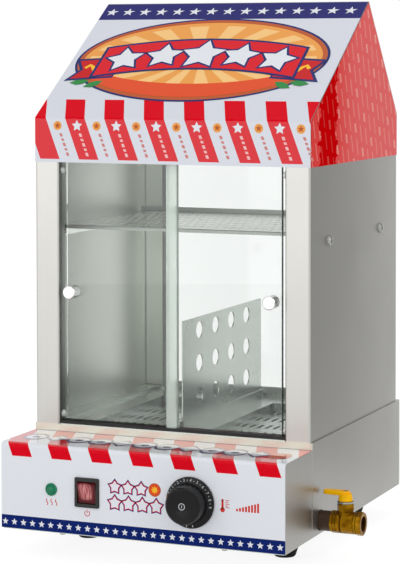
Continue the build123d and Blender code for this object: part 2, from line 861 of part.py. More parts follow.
def door_knob(side, pane_y):
    """Turned metal knob with a blind tapped hole."""
    origin = (side * knob_x, pane_y - glass_t / 2, knob_z)
    return turned(origin, (0, -1, 0), [
        (door_screw_r + pin_gap, 0),
        (knob_r - knob_chamfer, 0),
        (knob_r, knob_chamfer),
        (knob_r, knob_l - knob_chamfer),
        (knob_r - knob_chamfer, knob_l),
        (0, knob_l),
        (0, door_screw_grip + 1),
        (door_screw_r + pin_gap, door_screw_grip + 1),
    ])


def knob_screw(side, pane_y):
    """Flat-headed screw that holds a knob from behind the glass."""
    origin = (side * knob_x, pane_y + glass_t / 2 + door_screw_head_t, knob_z)
    shank = door_screw_head_t + glass_t + door_screw_grip
    return turned(origin, (0, -1, 0), [
        (0, 0),
        (door_screw_head_r - 0.5, 0),
        (door_screw_head_r, 0.5),
        (door_screw_head_r, door_screw_head_t),
        (door_screw_r, door_screw_head_t),
        (door_screw_r, shank),
        (0, shank),
    ])


def door_bumpers():
    """Soft clear stops on the inner faces of the posts."""
    bumpers = []
    for side, y in ((-1, bumper_left_y), (1, bumper_right_y)):
        for z in bumper_zs:
            bumpers.append(turned((side * opening_x, y, z), (-side, 0, 0), [
                (0, 0),
                (bumper_r, 0),
                (bumper_r * 0.92, bumper_h * 0.45),
                (bumper_r * 0.6, bumper_h * 0.85),
                (0, bumper_h),
            ]))
    return bumpers


def frame_ring(width, height, wall, y0, y1, middle_z):
    """Rectangular ring in the rear opening."""
    ring = Rectangle(width, height) - Rectangle(width - 2 * wall, height - 2 * wall)
    return Pos(0, y0, 0) * extrude(Plane.XZ * (Pos(0, middle_z) * ring), -(y1 - y0))


def rear_pane_size():
    """Width, height, middle height and front Y of the rear opening's trim."""
    width = 2 * (opening_x - run_gap)
    low = floor_top
    high = ceiling_z
    middle_y = cabinet_d - post_return / 2 - sheet
    return width, high - low, (high + low) / 2, middle_y


def rear_glass():
    """Fixed pane in the rear opening."""
    width, height, middle_z, middle_y = rear_pane_size()
    pane = Rectangle(width - 2 * (trim_wall + trim_gap), height - 2 * (trim_wall + trim_gap))
    y0 = middle_y - glass_t / 2
    return Pos(0, y0, 0) * extrude(Plane.XZ * (Pos(0, middle_z) * pane), -glass_t)


def rear_glass_trim():
    """Clear channel strip round the rear pane."""
    width, height, middle_z, middle_y = rear_pane_size()
    half = glass_t / 2 + trim_gap
    y0 = middle_y - half - trim_wall
    y1 = middle_y + half + trim_wall
    edge = frame_ring(width, height, trim_wall, y0, y1, middle_z)
    front = frame_ring(width, height, trim_depth, y0, y0 + trim_wall, middle_z)
    back = frame_ring(width, height, trim_depth, y1 - trim_wall, y1, middle_z)
    return edge + front + back


# ---------------------------------------------------------------- shelf
def bun_shelf():
    """Slotted shelf, screwed to the side walls by its flanges."""
    side = inner_x - sheet / 2
    back_y = shelf_y0 + shelf_d
    across = folded([
        (-side, shelf_top - shelf_side),
        (-side, shelf_top - sheet / 2),
        (side, shelf_top - sheet / 2),
        (side, shelf_top - shelf_side),
    ], radius=1.2)
    shelf = Pos(0, shelf_y0 + sheet, 0) * extrude(Plane.XZ * across, -(shelf_d - 2 * sheet))
    lengthways = folded([
        (shelf_y0 + sheet / 2, shelf_top - shelf_lip),
        (shelf_y0 + sheet / 2, shelf_top - sheet / 2),
        (back_y - sheet / 2, shelf_top - sheet / 2),
        (back_y - sheet / 2, shelf_top + shelf_back),
    ], radius=1.2)
    half = side - 2 * sheet
    shelf += Pos(-half, 0, 0) * extrude(Plane.YZ * lengthways, 2 * half)
    punch = Box(shelf_slot_w, shelf_slot_l, 4 * sheet)
    middle = Pos(0, shelf_y0 + shelf_d / 2, shelf_top)
    places = GridLocations(shelf_pitch_x, shelf_pitch_y, shelf_columns, shelf_rows)
    shelf -= [middle * place * punch for place in places]
    return shelf - shelf_screw_holes(-1) - shelf_screw_holes(1)


def shelf_screws():
    """Domed screws from outside, through wall and flange."""
    reach = 2 * sheet + m5_nut_t + m5_spare
    screws = []
    for side in (-1, 1):
        for y in shelf_screw_y:
            origin = (side * (wall_x - reach), y, shelf_screw_z)
            screws.append(turned(origin, (side, 0, 0), [
                (0, 0),
                (m5_r - 0.5, 0),
                (m5_r, 0.5),
                (m5_r, reach),
                (dome_r, reach),
                (dome_r * 0.94, reach + dome_h * 0.4),
                (dome_r * 0.66, reach + dome_h * 0.8),
                (0, reach + dome_h),
            ]))
    return screws


def m5_nuts():
    """Nuts on the shelf screws and on the foot screws."""
    nuts = [nut((side * (inner_x - sheet), y, shelf_screw_z), (-side, 0, 0),
                m5_nut_af, m5_r + pin_gap, m5_nut_t)
            for side in (-1, 1) for y in shelf_screw_y]
    nuts += [nut((x, y, 0), (0, 0, 1), m5_nut_af, m5_r + pin_gap, m5_nut_t)
             for x in (-foot_x, foot_x) for y in foot_ys]
    return nuts


# ---------------------------------------------------------------- drain valve
def drain_elbow():
    """Elbow from the tank's floor to the side of the base."""
    path = FilletPolyline(
        (elbow_x, valve_y, drain_z),
        (elbow_x, valve_y, valve_z),
        (nipple_x0 + sheet, valve_y, valve_z),
        radius=elbow_bend_r,
    )
    start = Plane(origin=path @ 0, z_dir=path % 0)
    outer = sweep(start * Circle(elbow_pipe_r), path)
    socket = rod((nipple_x0 - 3 * sheet, valve_y, valve_z), (1, 0, 0), elbow_r, socket_depth)
    bore = sweep(start * Circle(elbow_bore_r), path)
    seat = rod((nipple_x0, valve_y, valve_z), (1, 0, 0), nipple_r, socket_depth)
    return outer + socket - bore - seat


def drain_nipple():
    """Short pipe from the elbow through the wall, tapped for the valve."""
    length = valve_x0 - nipple_x0
    origin = (nipple_x0, valve_y, valve_z)
    pipe = rod(origin, (1, 0, 0), nipple_r, length)
    pipe -= rod(origin, (1, 0, 0), nipple_bore_r, length)
    tapped = inlet_l + sheet
    return pipe - rod((valve_x0 - tapped, valve_y, valve_z), (1, 0, 0), inlet_r + pin_gap, tapped)


def octagon(across_flats):
    """Octagon by its width across flats."""
    return RegularPolygon(across_flats / 2, 8, major_radius=False)


def valve_body():
    """Brass body: male inlet, wrench flats, round ball chamber and stem boss."""
    axis = (1, 0, 0)
    origin = (valve_x0, valve_y, valve_z)
    inlet = rod((valve_x0 - inlet_l, valve_y, valve_z), axis, inlet_r, inlet_l)
    flats = along(origin, axis, octagon(inlet_af), inlet_flats_l)
    neck_r = inlet_af / 2 - 1
    barrel = turned(origin, axis, [
        (0, inlet_flats_l - 2),
        (neck_r, inlet_flats_l - 2),
        (neck_r, inlet_flats_l + 0.5),
        (body_r, inlet_flats_l + 2),
        (body_r, body_l),
        (0, body_l),
    ])
    boss = rod((stem_x, valve_y, valve_z), (0, 0, 1), boss_r, boss_h)
    body = inlet + flats + barrel + boss
    bore_l = inlet_l + stem_x - valve_x0
    body -= rod((valve_x0 - inlet_l, valve_y, valve_z), axis, ball_bore_r, bore_l)
    chamber_x0 = stem_x - ball_r - seat_t
    body -= rod((chamber_x0, valve_y, valve_z), axis, ball_r + run_gap, valve_x0 + body_l - chamber_x0)
    return body - rod((stem_x, valve_y, valve_z), (0, 0, 1), stem_r + pin_gap, boss_h)


def valve_end():
    """Outlet end, screwed into the body, with the pipe thread for a hose tail."""
    axis = (1, 0, 0)
    x0 = valve_x0 + body_l
    spigot_x0 = stem_x + ball_r + seat_t
    rest = valve_l - body_l
    flats_x0 = valve_x1 - outlet_flats_l
    corner_r = outlet_af / 2 / cos(radians(22.5))
    flats = along((flats_x0, valve_y, valve_z), axis, octagon(outlet_af), outlet_flats_l)
    flats &= turned((flats_x0, valve_y, valve_z), axis, [
        (0, 0),
        (body_r, 0),
        (corner_r, 0.6),
        (corner_r, outlet_flats_l - 0.8),
        (corner_r - 1, outlet_flats_l),
        (0, outlet_flats_l),
    ])
    barrel = rod((x0, valve_y, valve_z), axis, body_r, rest - outlet_flats_l)
    spigot = rod((spigot_x0, valve_y, valve_z), axis, ball_r + run_gap - pin_gap, x0 - spigot_x0)
    end = flats + barrel + spigot
    end -= rod((valve_x1 - outlet_depth, valve_y, valve_z), axis, outlet_r, outlet_depth)
    return end - rod((spigot_x0, valve_y, valve_z), axis, ball_bore_r, valve_l)


def valve_seats():
    """Plastic rings whose conical faces bear on the ball."""
    reach = (ball_r + pin_gap) * sqrt(2)
    flat = ball_r * 0.67
    back = ball_r + seat_t
    outline = [
        (ball_bore_r, 0),
        (ball_r, 0),
        (ball_r, back - flat),
        (reach - flat, back - flat),
        (ball_bore_r, back - reach + ball_bore_r),
    ]
    return [turned((stem_x + side * back, valve_y, valve_z), (-side, 0, 0), outline)
            for side in (-1, 1)]


def valve_ball():
    """Bored ball with a groove for the stem's tongue; open at rest."""
    ball = Pos(stem_x, valve_y, valve_z) * Sphere(ball_r)
    ball -= rod((stem_x - ball_r, valve_y, valve_z), (1, 0, 0), ball_bore_r, 2 * ball_r)
    top = valve_z + ball_r
    half = tongue_w / 2 + pin_gap
    return ball - span(stem_x - ball_r, stem_x + ball_r, valve_y - half, valve_y + half,
                       top - tongue_h + 0.2, top + 1)


def valve_stem():
    """Stem from the ball's groove to the lever, with a flat for the lever."""
    low = valve_z + ball_r + 0.6
    lever_low = valve_z + boss_h + packing_h + washer_t + run_gap
    stem = rod((stem_x, valve_y, low), (0, 0, 1), stem_r, lever_low + hub_h - 1 - low)
    tongue = span(stem_x - 3, stem_x + 3, valve_y - tongue_w / 2, valve_y + tongue_w / 2,
                  low - tongue_h + 0.4, low)
    return stem + tongue


def packing_nut():
    """Hexagon nut that presses the stem's packing."""
    low = valve_z + boss_h
    return nut((stem_x, valve_y, low), (0, 0, 1), packing_af, stem_r + pin_gap, packing_h)


def stop_washer():
    """Steel washer under the lever."""
    low = valve_z + boss_h + packing_h + run_gap
    ring = Circle(washer_r) - Circle(stem_r + pin_gap)
    return along((stem_x, valve_y, low), (0, 0, 1), ring, washer_t)


def valve_lever():
    """Short lever: a tapered blade above a round hub."""
    low = valve_z + boss_h + packing_h + washer_t + run_gap
    top = low + hub_h
    tip = lever_tip_w / 2
    heel = lever_w / 2
    plan = make_hull([
        *(Pos(stem_x - lever_l + tip, valve_y) * Circle(tip)).edges(),
        *(Pos(stem_x - heel + lever_tail, valve_y) * Circle(heel)).edges(),
    ])
    blade = Pos(0, 0, top) * extrude(plan, lever_t)
    blade = fillet(blade.faces().sort_by(Axis.Z)[-1].edges(), 1.6)
    blade = fillet(blade.faces().sort_by(Axis.Z)[0].edges(), 1.0)
    hub = turned((stem_x, valve_y, low), (0, 0, 1), [
        (0, 0),
        (hub_r - 0.8, 0),
        (hub_r, 0.8),
        (hub_r - 1.0, hub_h + 1.5),
        (0, hub_h + 1.5),
    ])
    lever = blade + hub
    lever -= rod((stem_x, valve_y, low - 1), (0, 0, 1), stem_r + pin_gap, hub_h)
    lever -= rod((stem_x, valve_y, low), (0, 0, 1), lever_screw_r + pin_gap, hub_h + lever_t)
    head_seat = top + lever_t - lever_head_t
    return lever - rod((stem_x, valve_y, head_seat), (0, 0, 1), lever_head_r + 2 * pin_gap, lever_t)


def lever_screw():
    """Countersunk screw that holds the lever on its stem."""
    low = valve_z + boss_h + packing_h + washer_t + run_gap + hub_h
    spare = 0.9
    seat = lever_t - lever_head_t + spare
    return turned((stem_x, valve_y, low - spare), (0, 0, 1), [
        (0, 0),
        (lever_screw_r, 0),
        (lever_screw_r, seat),
        (lever_head_r, seat),
        (lever_head_r, seat + lever_head_t * 0.64),
        (lever_head_r - 0.8, seat + lever_head_t * 0.9),
        (0, seat + lever_head_t * 0.9),
    ])


# ---------------------------------------------------------------- controls
def lamp_body():
    """Pilot lamp's bezel and barrel."""
    return turned((lamp_x, face_y, lamp_z), (0, 1, 0), [
        (lamp_lens_r + pin_gap, -1.6),
        (lamp_bezel_r - 0.6, -1.6),
        (lamp_bezel_r, -1.0),
        (lamp_bezel_r, 0),
        (lamp_body_r, 0),
        (lamp_body_r, lamp_body_l),
        (0, lamp_body_l),
        (0, 3),
        (lamp_lens_r + pin_gap, 3),
    ])


def lamp_lens():
    """Green domed lens."""
    return turned((lamp_x, face_y, lamp_z), (0, 1, 0), [
        (0, -3.6),
        (lamp_lens_r * 0.5, -3.2),
        (lamp_lens_r * 0.85, -2.2),
        (lamp_lens_r, -1.0),
        (lamp_lens_r, 3),
        (0, 3),
    ])


def lamp_nut():
    """Nut behind the panel on the pilot lamp."""
    origin = (lamp_x, box_y + sheet, lamp_z)
    return nut(origin, (0, 1, 0), 14.0, lamp_body_r + pin_gap, 3)


def switch_housing():
    """Switch bezel and body, open in front for the rocker."""
    lip = face_y - switch_lip
    bezel = RectangleRounded(switch_w, switch_h, 1.5)
    frame = Pos(switch_x, 0, switch_z) * extrude(Plane.XZ * bezel, switch_lip)
    frame = Pos(0, face_y, 0) * frame
    frame = fillet(frame.faces().sort_by(Axis.Y)[0].edges(), 0.8)
    body = span(switch_x - switch_body_w / 2, switch_x + switch_body_w / 2, face_y,
                face_y + switch_body_l, switch_z - switch_body_h / 2, switch_z + switch_body_h / 2)
    pocket_w = rocker_w / 2 + rocker_gap
    pocket_h = rocker_r + rocker_gap
    pocket = span(switch_x - pocket_w, switch_x + pocket_w, lip - 1, face_y + 13,
                  switch_z - pocket_h, switch_z + pocket_h)
    return frame + body - pocket - rod(
        (switch_x - switch_body_w / 2 + rocker_pin_wall, box_y + rocker_pivot_in, switch_z),
        (1, 0, 0), rocker_pin_r + pin_gap, switch_body_w - 2 * rocker_pin_wall)


def rocker_button():
    """Rocker with a dished face on a hidden pivot, tipped to its off side."""
    disc = Circle(rocker_r)
    middle = (rocker_back - rocker_front) / 2
    keep = Pos(middle, 0) * Rectangle(rocker_front + rocker_back, 3 * rocker_r)
    dish = Pos(rocker_dish - rocker_front - rocker_dish_r, 0) * Circle(rocker_dish_r)
    section = (disc & keep) - dish
    pivot_y = box_y + rocker_pivot_in
    block = extrude(Plane.YZ * section, rocker_w)
    block = Pos(-rocker_w / 2, 0, 0) * block
    pin_l = switch_body_w - 2 * (rocker_pin_wall + rocker_pin_play)
    block += rod((-pin_l / 2, 0, 0), (1, 0, 0), rocker_pin_r, pin_l)
    return Pos(switch_x, pivot_y, switch_z) * Rot(rocker_tilt, 0, 0) * block


def dial_knob():
    """Thermostat knob: a bevelled skirt for the scale and a tapered grip."""
    origin = (dial_x, face_y - dial_gap, dial_z)
    knob = turned(origin, (0, -1, 0), [
        (0, 0),
        (skirt_r, 0),
        (skirt_r, 1.4),
        (skirt_r - 1.2, skirt_t - 0.4),
        (cap_r + 0.6, skirt_t + 0.5),
        (cap_r, skirt_t + 1.5),
        (cap_top_r + 0.4, dial_h - 2.6),
        (cap_top_r - 0.5, dial_h - 1.0),
        (cap_top_r - 2.2, dial_h),
        (cap_top_r * 0.55, dial_h - 0.5),
        (4.2, dial_h - 1.2),
        (3.4, dial_h - 0.4),
        (0, dial_h - 0.4),
    ])
    hollow = turned(origin, (0, -1, 0), [
        (6.5, 0),
        (skirt_r - 2.0, 0),
        (skirt_r - 2.6, skirt_t - 2.2),
        (cap_r - 2.2, skirt_t - 1.2),
        (cap_top_r - 2.6, dial_h - 5),
        (6.5, dial_h - 5),
    ])
    return knob - hollow - shaft_section(pin_gap, face_y - dial_gap, dial_h - 6)


def shaft_section(clearance, y0, length):
    """D-shaped shaft from y0 towards the front."""
    round_part = Circle(shaft_r + clearance)
    flat_y = shaft_flat + clearance
    section = round_part & (Pos(0, flat_y - 5) * Rectangle(12, 10))
    return along((dial_x, y0, dial_z), (0, -1, 0), section, length)


def dial_shaft():
    """Thermostat shaft, which turns with the knob."""
    back = box_y + sheet + stat_l * 0.4
    return shaft_section(0, back, back - (face_y - dial_gap - dial_h + 7))


def thermostat_body():
    """Thermostat behind the panel, with its bushing through it."""
    y0 = box_y + sheet
    body = Pos(dial_x, y0 + stat_l / 2, dial_z) * Box(stat_w, stat_l, stat_h)
    body = fillet(body.edges().filter_by(Axis.Y), 4)
    body += rod((dial_x, y0, dial_z), (0, -1, 0), bushing_r, sheet)
    body -= rod((dial_x, y0 - 2, dial_z), (0, 1, 0), shaft_r + pin_gap, stat_l * 0.4 + 2.2)
    for side in (-1, 1):
        x = dial_x + side * stat_screw_pitch / 2
        body -= rod((x, y0, dial_z), (0, 1, 0), screw_r + pin_gap, 6)
    return body


def thermostat_screws():
    """Screws under the knob that hold the thermostat to the panel."""
    screws = []
    for side in (-1, 1):
        x = dial_x + side * stat_screw_pitch / 2
        screws.append(turned((x, box_y, dial_z), (0, 1, 0), [
            (0, -1.1),
            (screw_head_r - 0.4, -1.1),
            (screw_head_r, -0.6),
            (screw_head_r, 0),
            (screw_r, 0),
            (screw_r, sheet + 5),
            (0, sheet + 5),
        ]))
    return screws


def terminal_block():
    """Ceramic terminal block on the bottom cover."""
    y0 = box_y + block_y
    y1 = y0 + block_d
    profile = make_face(Polyline(
        (y0, 0),
        (y0, block_low_h),
        (y0 + block_step, block_low_h),
        (y0 + block_step, block_h),
        (y1 - block_step, block_h),
        (y1 - block_step, block_low_h),
        (y1, block_low_h),
        (y1, 0),
        close=True,
    ))
    length = block_ways * block_pitch
    x0 = -block_x - length
    block = Pos(x0, 0, 0) * extrude(Plane.YZ * profile, length)
    for way in range(block_ways):
        x = x0 + block_pitch * (way + 0.5)
        block -= rod((x, y0, block_wire_z), (0, 1, 0), block_wire_r, block_d)
        block -= rod((x, (y0 + y1) / 2, block_screw_z), (0, 0, 1), block_screw_r, block_h)
    return block


# ---------------------------------------------------------------- write every sub-part
os.makedirs("parts", exist_ok=True)

save("left_side_panel", side_panel(-1))
save("right_side_panel", side_panel(1))
save("roof_canopy", roof_canopy())
save("chamber_ceiling", chamber_ceiling())
save("left_gable_decal", gable_decal(-1))
save("right_gable_decal", gable_decal(1))
save("roof_decal", roof_decal())

save("base_shell", base_shell())
save("control_box", control_box())
save("panel_decal", panel_decal())
save("bottom_cover", bottom_cover())
save("cover_screws", *cover_screws())
save("rubber_feet", *rubber_feet())
save("foot_screws", *foot_screws())
save("cord_gland", cord_gland())
save("gland_lock_nut", gland_lock_nut())

save("water_tank", water_tank())
save("heating_element", heating_element())
save("element_nuts", *element_nuts())
save("thermostat_bulb", thermostat_bulb())

save("chamber_floor", chamber_floor())
save("left_steam_tray", steam_tray(-1))
save("right_steam_tray", steam_tray(1))
save("divider_rail", divider_rail())
save("divider_plate", divider_plate())

save("lower_door_track", track(floor_top, floor_top + track_low_h, True))
save("upper_door_track", track(ceiling_z - track_high_h, ceiling_z, False))
for name, side, pane_y in (("left", -1, rear_pane_y), ("right", 1, front_pane_y)):
    save(f"{name}_door_glass", door_glass(side, pane_y))
    save(f"{name}_door_knob", door_knob(side, pane_y))
    save(f"{name}_knob_screw", knob_screw(side, pane_y))
save("door_bumpers", *door_bumpers())
save("rear_glass", rear_glass())
save("rear_glass_trim", rear_glass_trim())

save("bun_shelf", bun_shelf())
save("shelf_screws", *shelf_screws())
save("m5_nuts", *m5_nuts())

save("drain_elbow", drain_elbow())
save("drain_nipple", drain_nipple())
save("valve_body", valve_body())
save("valve_end", valve_end())
save("valve_seats", *valve_seats())
save("valve_ball", valve_ball())
save("valve_stem", valve_stem())
save("packing_nut", packing_nut())
save("stop_washer", stop_washer())
save("valve_lever", valve_lever())
save("lever_screw", lever_screw())

save("lamp_body", lamp_body())
save("lamp_lens", lamp_lens())
save("lamp_nut", lamp_nut())
save("switch_housing", switch_housing())
save("rocker_button", rocker_button())
save("dial_knob", dial_knob())
save("dial_shaft", dial_shaft())
save("thermostat_body", thermostat_body())
save("thermostat_screws", *thermostat_screws())
save("terminal_block", terminal_block())
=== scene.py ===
import math

import bmesh
import bpy
from mathutils import Matrix, Vector


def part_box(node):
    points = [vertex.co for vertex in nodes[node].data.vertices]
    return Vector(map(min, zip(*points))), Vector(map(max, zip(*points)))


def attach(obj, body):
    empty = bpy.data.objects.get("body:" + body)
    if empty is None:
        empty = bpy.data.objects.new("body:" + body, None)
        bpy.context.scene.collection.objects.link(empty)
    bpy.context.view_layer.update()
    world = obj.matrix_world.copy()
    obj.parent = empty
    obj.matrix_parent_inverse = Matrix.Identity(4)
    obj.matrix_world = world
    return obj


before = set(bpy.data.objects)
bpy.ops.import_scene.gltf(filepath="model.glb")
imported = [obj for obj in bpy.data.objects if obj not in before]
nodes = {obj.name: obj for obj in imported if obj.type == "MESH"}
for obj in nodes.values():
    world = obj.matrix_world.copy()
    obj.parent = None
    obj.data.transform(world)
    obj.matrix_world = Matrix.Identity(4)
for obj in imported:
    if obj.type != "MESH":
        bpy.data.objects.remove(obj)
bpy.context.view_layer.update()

mm = 0.001
print("stage: packed model loaded,", len(nodes), "nodes")

# cabinet millimetres: x from its middle, y back from its front face, z up from the base walls
baseLow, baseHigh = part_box("base_shell")
cabinetZero = Vector(((baseLow.x + baseHigh.x) / 2, baseLow.y, baseLow.z))

roof = {"eavesZ": 408.5, "ridgeZ": 529.0, "ridgeY": 174.0, "fasciaZ": 363.0,
        "slopeFilm": 0.4, "bandFilm": 0.25}
panel = {"frontY": -71.85, "ledgeZ": 86.25}
roofSlope = math.atan2(roof["ridgeZ"] - roof["eavesZ"], roof["ridgeY"])
printLift = 0.06  # how far ink lies above its film, and each layer above the last


def at(x, y, z):
    return cabinetZero + Vector((x, y, z)) * mm


def onRoof(u, s, lift):
    # u across the roof, s up the front slope from the eaves
    out = roof["slopeFilm"] + lift
    y = s * math.cos(roofSlope) - out * math.sin(roofSlope)
    z = roof["eavesZ"] + s * math.sin(roofSlope) + out * math.cos(roofSlope)
    return at(u, y, z)


def onFascia(u, z, lift):
    return at(u, -roof["bandFilm"] - lift, z)


def onPanel(u, z, lift):
    return at(u, panel["frontY"] - lift, z)


def onLedge(u, y, lift):
    return at(u, y, panel["ledgeZ"] + lift)


def addObject(name, data):
    thing = bpy.data.objects.new(name, data)
    bpy.context.scene.collection.objects.link(thing)
    return thing


# the camera stands where the photograph's own perspective puts it
photoCamera = {
    "place": (852.1, -1879.8, 477.3), "yaw": 22.4786, "pitch": 1.9729, "roll": -0.0451,
    "focalPixels": 2064.55, "middleX": 237.7, "middleY": 121.367, "width": 400, "height": 564,
    "sensor": 36, "farEnd": 50,
}


def makeCamera(facts):
    yaw, pitch, roll = (math.radians(facts[k]) for k in ("yaw", "pitch", "roll"))
    forward = Vector((-math.sin(yaw) * math.cos(pitch), math.cos(yaw) * math.cos(pitch), -math.sin(pitch)))
    level = Vector((math.cos(yaw), math.sin(yaw), 0))
    upward = level.cross(forward)
    right = math.cos(roll) * level + math.sin(roll) * upward
    top = -math.sin(roll) * level + math.cos(roll) * upward
    data = bpy.data.cameras.new("photoCamera")
    data.sensor_fit = "HORIZONTAL"
    data.sensor_width = facts["sensor"]
    data.lens = facts["focalPixels"] * facts["sensor"] / facts["width"]
    data.shift_x = (facts["width"] / 2 - facts["middleX"]) / facts["width"]
    data.shift_y = (facts["middleY"] - facts["height"] / 2) / facts["width"]
    data.clip_end = facts["farEnd"]
    camera = addObject("photoCamera", data)
    turn = Matrix((right, top, -forward)).transposed().to_4x4()
    camera.matrix_world = Matrix.Translation(at(*facts["place"])) @ turn
    bpy.context.scene.camera = camera


makeCamera(photoCamera)


# helpers for node trees: a value is a plain one or another node's output
def feed(tree, node, values):
    for key, value in values.items():
        if isinstance(value, bpy.types.NodeSocket):
            tree.links.new(value, node.inputs[key])
        else:
            node.inputs[key].default_value = value


def addNode(tree, kind, values, **settings):
    made = tree.nodes.new(kind)
    for key, value in settings.items():
        setattr(made, key, value)
    feed(tree, made, values)
    return made


def mathNode(tree, operation, a, b=0.0, c=0.0):
    return addNode(tree, "ShaderNodeMath", {0: a, 1: b, 2: c}, operation=operation).outputs[0]


def plus(tree, a, b):
    return mathNode(tree, "ADD", a, b)


def minus(tree, a, b):
    return mathNode(tree, "SUBTRACT", a, b)


def times(tree, a, b):
    return mathNode(tree, "MULTIPLY", a, b)


def divided(tree, a, b):
    return mathNode(tree, "DIVIDE", a, b)


def timesPlus(tree, a, b, c):
    return mathNode(tree, "MULTIPLY_ADD", a, b, c)


def above(tree, a, b):
    return mathNode(tree, "GREATER_THAN", a, b)


def below(tree, a, b):
    return mathNode(tree, "LESS_THAN", a, b)


def larger(tree, a, b):
    return mathNode(tree, "MAXIMUM", a, b)


def smaller(tree, a, b):
    return mathNode(tree, "MINIMUM", a, b)


def vectorNode(tree, operation, a, b):
    return addNode(tree, "ShaderNodeVectorMath", {0: a, 1: b}, operation=operation).outputs[0]


def scaled(tree, vector, share):
    return addNode(tree, "ShaderNodeVectorMath", {0: vector, "Scale": share}, operation="SCALE").outputs[0]


def joined(tree, x=0.0, y=0.0, z=0.0):
    return addNode(tree, "ShaderNodeCombineXYZ", {"X": x, "Y": y, "Z": z}).outputs[0]


def noise(tree, place, scale, detail=2.0, rough=0.5, distort=0.0):
    return addNode(tree, "ShaderNodeTexNoise", {"Vector": place, "Scale": scale, "Detail": detail,
                                                "Roughness": rough, "Distortion": distort}).outputs[0]


def spread(tree, value, low, high):
    # 0 at low, 1 at high
    return addNode(tree, "ShaderNodeMapRange", {0: value, 1: low, 2: high}).outputs[0]


def between(tree, value, low, high):
    # 1 where low < value < high
    return times(tree, above(tree, value, low), below(tree, value, high))


def mixColour(tree, amount, a, b):
    return addNode(tree, "ShaderNodeMix", {0: amount, 6: a, 7: b}, data_type="RGBA").outputs[2]


def mixShader(tree, amount, a, b):
    return addNode(tree, "ShaderNodeMixShader", {0: amount, 1: a, 2: b}).outputs[0]


def rgb(red, green, blue):
    # written as seen on a screen, 0 to 255
    def linear(c):
        c = c / 255
        return c / 12.92 if c <= 0.04045 else ((c + 0.055) / 1.055) ** 2.4
    return (linear(red), linear(green), linear(blue), 1.0)


def toned(colour, share):
    return tuple(min(1, c * share) for c in colour[:3]) + (1,)


def newGroup(name, inputs, outputs):
    group = bpy.data.node_groups.new(name, "ShaderNodeTree")
    kinds = {"value": "NodeSocketFloat", "colour": "NodeSocketColor", "vector": "NodeSocketVector"}
    for title, kind, value in inputs:
        socket = group.interface.new_socket(title, in_out="INPUT", socket_type=kinds[kind])
        if value is not None:
            socket.default_value = value
    for title, kind in outputs:
        group.interface.new_socket(title, in_out="OUTPUT", socket_type=kinds[kind])
    return group, group.nodes.new("NodeGroupInput").outputs, group.nodes.new("NodeGroupOutput")


def useGroup(tree, group, values):
    return addNode(tree, "ShaderNodeGroup", values, node_tree=group).outputs


def objectPlace(tree):
    return addNode(tree, "ShaderNodeTexCoord", {}).outputs["Object"]


def cabinetMillimetres(tree):
    # object coordinates turned into the cabinet's own millimetres
    place = scaled(tree, vectorNode(tree, "SUBTRACT", objectPlace(tree), cabinetZero), 1 / mm)
    return addNode(tree, "ShaderNodeSeparateXYZ", {0: place}).outputs[0:3]


# effects shared by several finishes
def makeBrushedGrain():
    group, given, result = newGroup("brushedGrain", [
        ("Place", "vector", None), ("Along", "vector", (900, 12, 900)), ("Strength", "value", 0.5),
    ], [("Streaks", "value"), ("Height", "value")])
    stretched = vectorNode(group, "MULTIPLY", given["Place"], given["Along"])
    fine = times(group, noise(group, stretched, 1.0, detail=3.0, rough=0.65), 0.65)
    coarse = times(group, noise(group, stretched, 0.23), 0.35)
    height = plus(group, fine, coarse)
    centred = minus(group, height, 0.5)
    streaks = timesPlus(group, centred, given["Strength"], 0.5)
    feed(group, result, {"Streaks": streaks, "Height": height})
    return group


def makeHandling():
    # soft smudges, wiped patches and specks of dust
    group, given, result = newGroup("handling", [
        ("Place", "vector", None), ("Size", "value", 18.0), ("Amount", "value", 0.5),
        ("Specks", "value", 0.2),
    ], [("Smudge", "value"), ("Dust", "value")])
    cloud = noise(group, given["Place"], given["Size"], detail=5.0, rough=0.6, distort=0.4)
    smudge = times(group, minus(group, cloud, 0.5), given["Amount"])
    grit = above(group, noise(group, given["Place"], 900.0, detail=1.0), 0.72)
    feed(group, result, {"Smudge": smudge, "Dust": times(group, grit, given["Specks"])})
    return group


def makeFilmSkin():
    # faint ink mottle and the slow waves of film stuck on sheet
    group, given, result = newGroup("filmSkin", [
        ("Place", "vector", None), ("Colour", "colour", (1, 1, 1, 1)), ("Mottle", "value", 0.05),
    ], [("Colour", "colour"), ("Height", "value"), ("Rough", "value")])
    dots = minus(group, noise(group, given["Place"], 1500.0), 0.5)
    shade = timesPlus(group, dots, given["Mottle"], 1.0)
    waves = noise(group, given["Place"], 26.0, detail=1.5)
    peel = noise(group, given["Place"], 420.0, detail=1.0)
    feed(group, result, {"Colour": scaled(group, given["Colour"], shade),
                         "Height": timesPlus(group, peel, 0.06, waves),
                         "Rough": timesPlus(group, waves, 0.10, 0.12)})
    return group


def makeLeaningStripes():
    # 1 on a stripe: stripes run along "Up" and shift sideways by "Lean" as it falls
    group, given, result = newGroup("leaningStripes", [
        ("Across", "value", 0.0), ("Up", "value", 0.0), ("Lean", "value", 0.37), ("First", "value", 0.0),
        ("Pitch", "value", 44.35), ("Width", "value", 22.2),
    ], [("Stripe", "value")])
    leaned = timesPlus(group, given["Up"], given["Lean"], given["Across"])
    turns = divided(group, minus(group, leaned, given["First"]), given["Pitch"])
    edge = divided(group, given["Width"], given["Pitch"])
    feed(group, result, {"Stripe": below(group, mathNode(group, "FRACT", turns), edge)})
    return group


brushedGrain = makeBrushedGrain()
handling = makeHandling()
filmSkin = makeFilmSkin()
leaningStripes = makeLeaningStripes()


# every finish starts from these
def newFinish(name):
    material = bpy.data.materials.new(name)
    material.use_nodes = True
    tree = material.node_tree
    return material, tree, tree.nodes["Principled BSDF"]


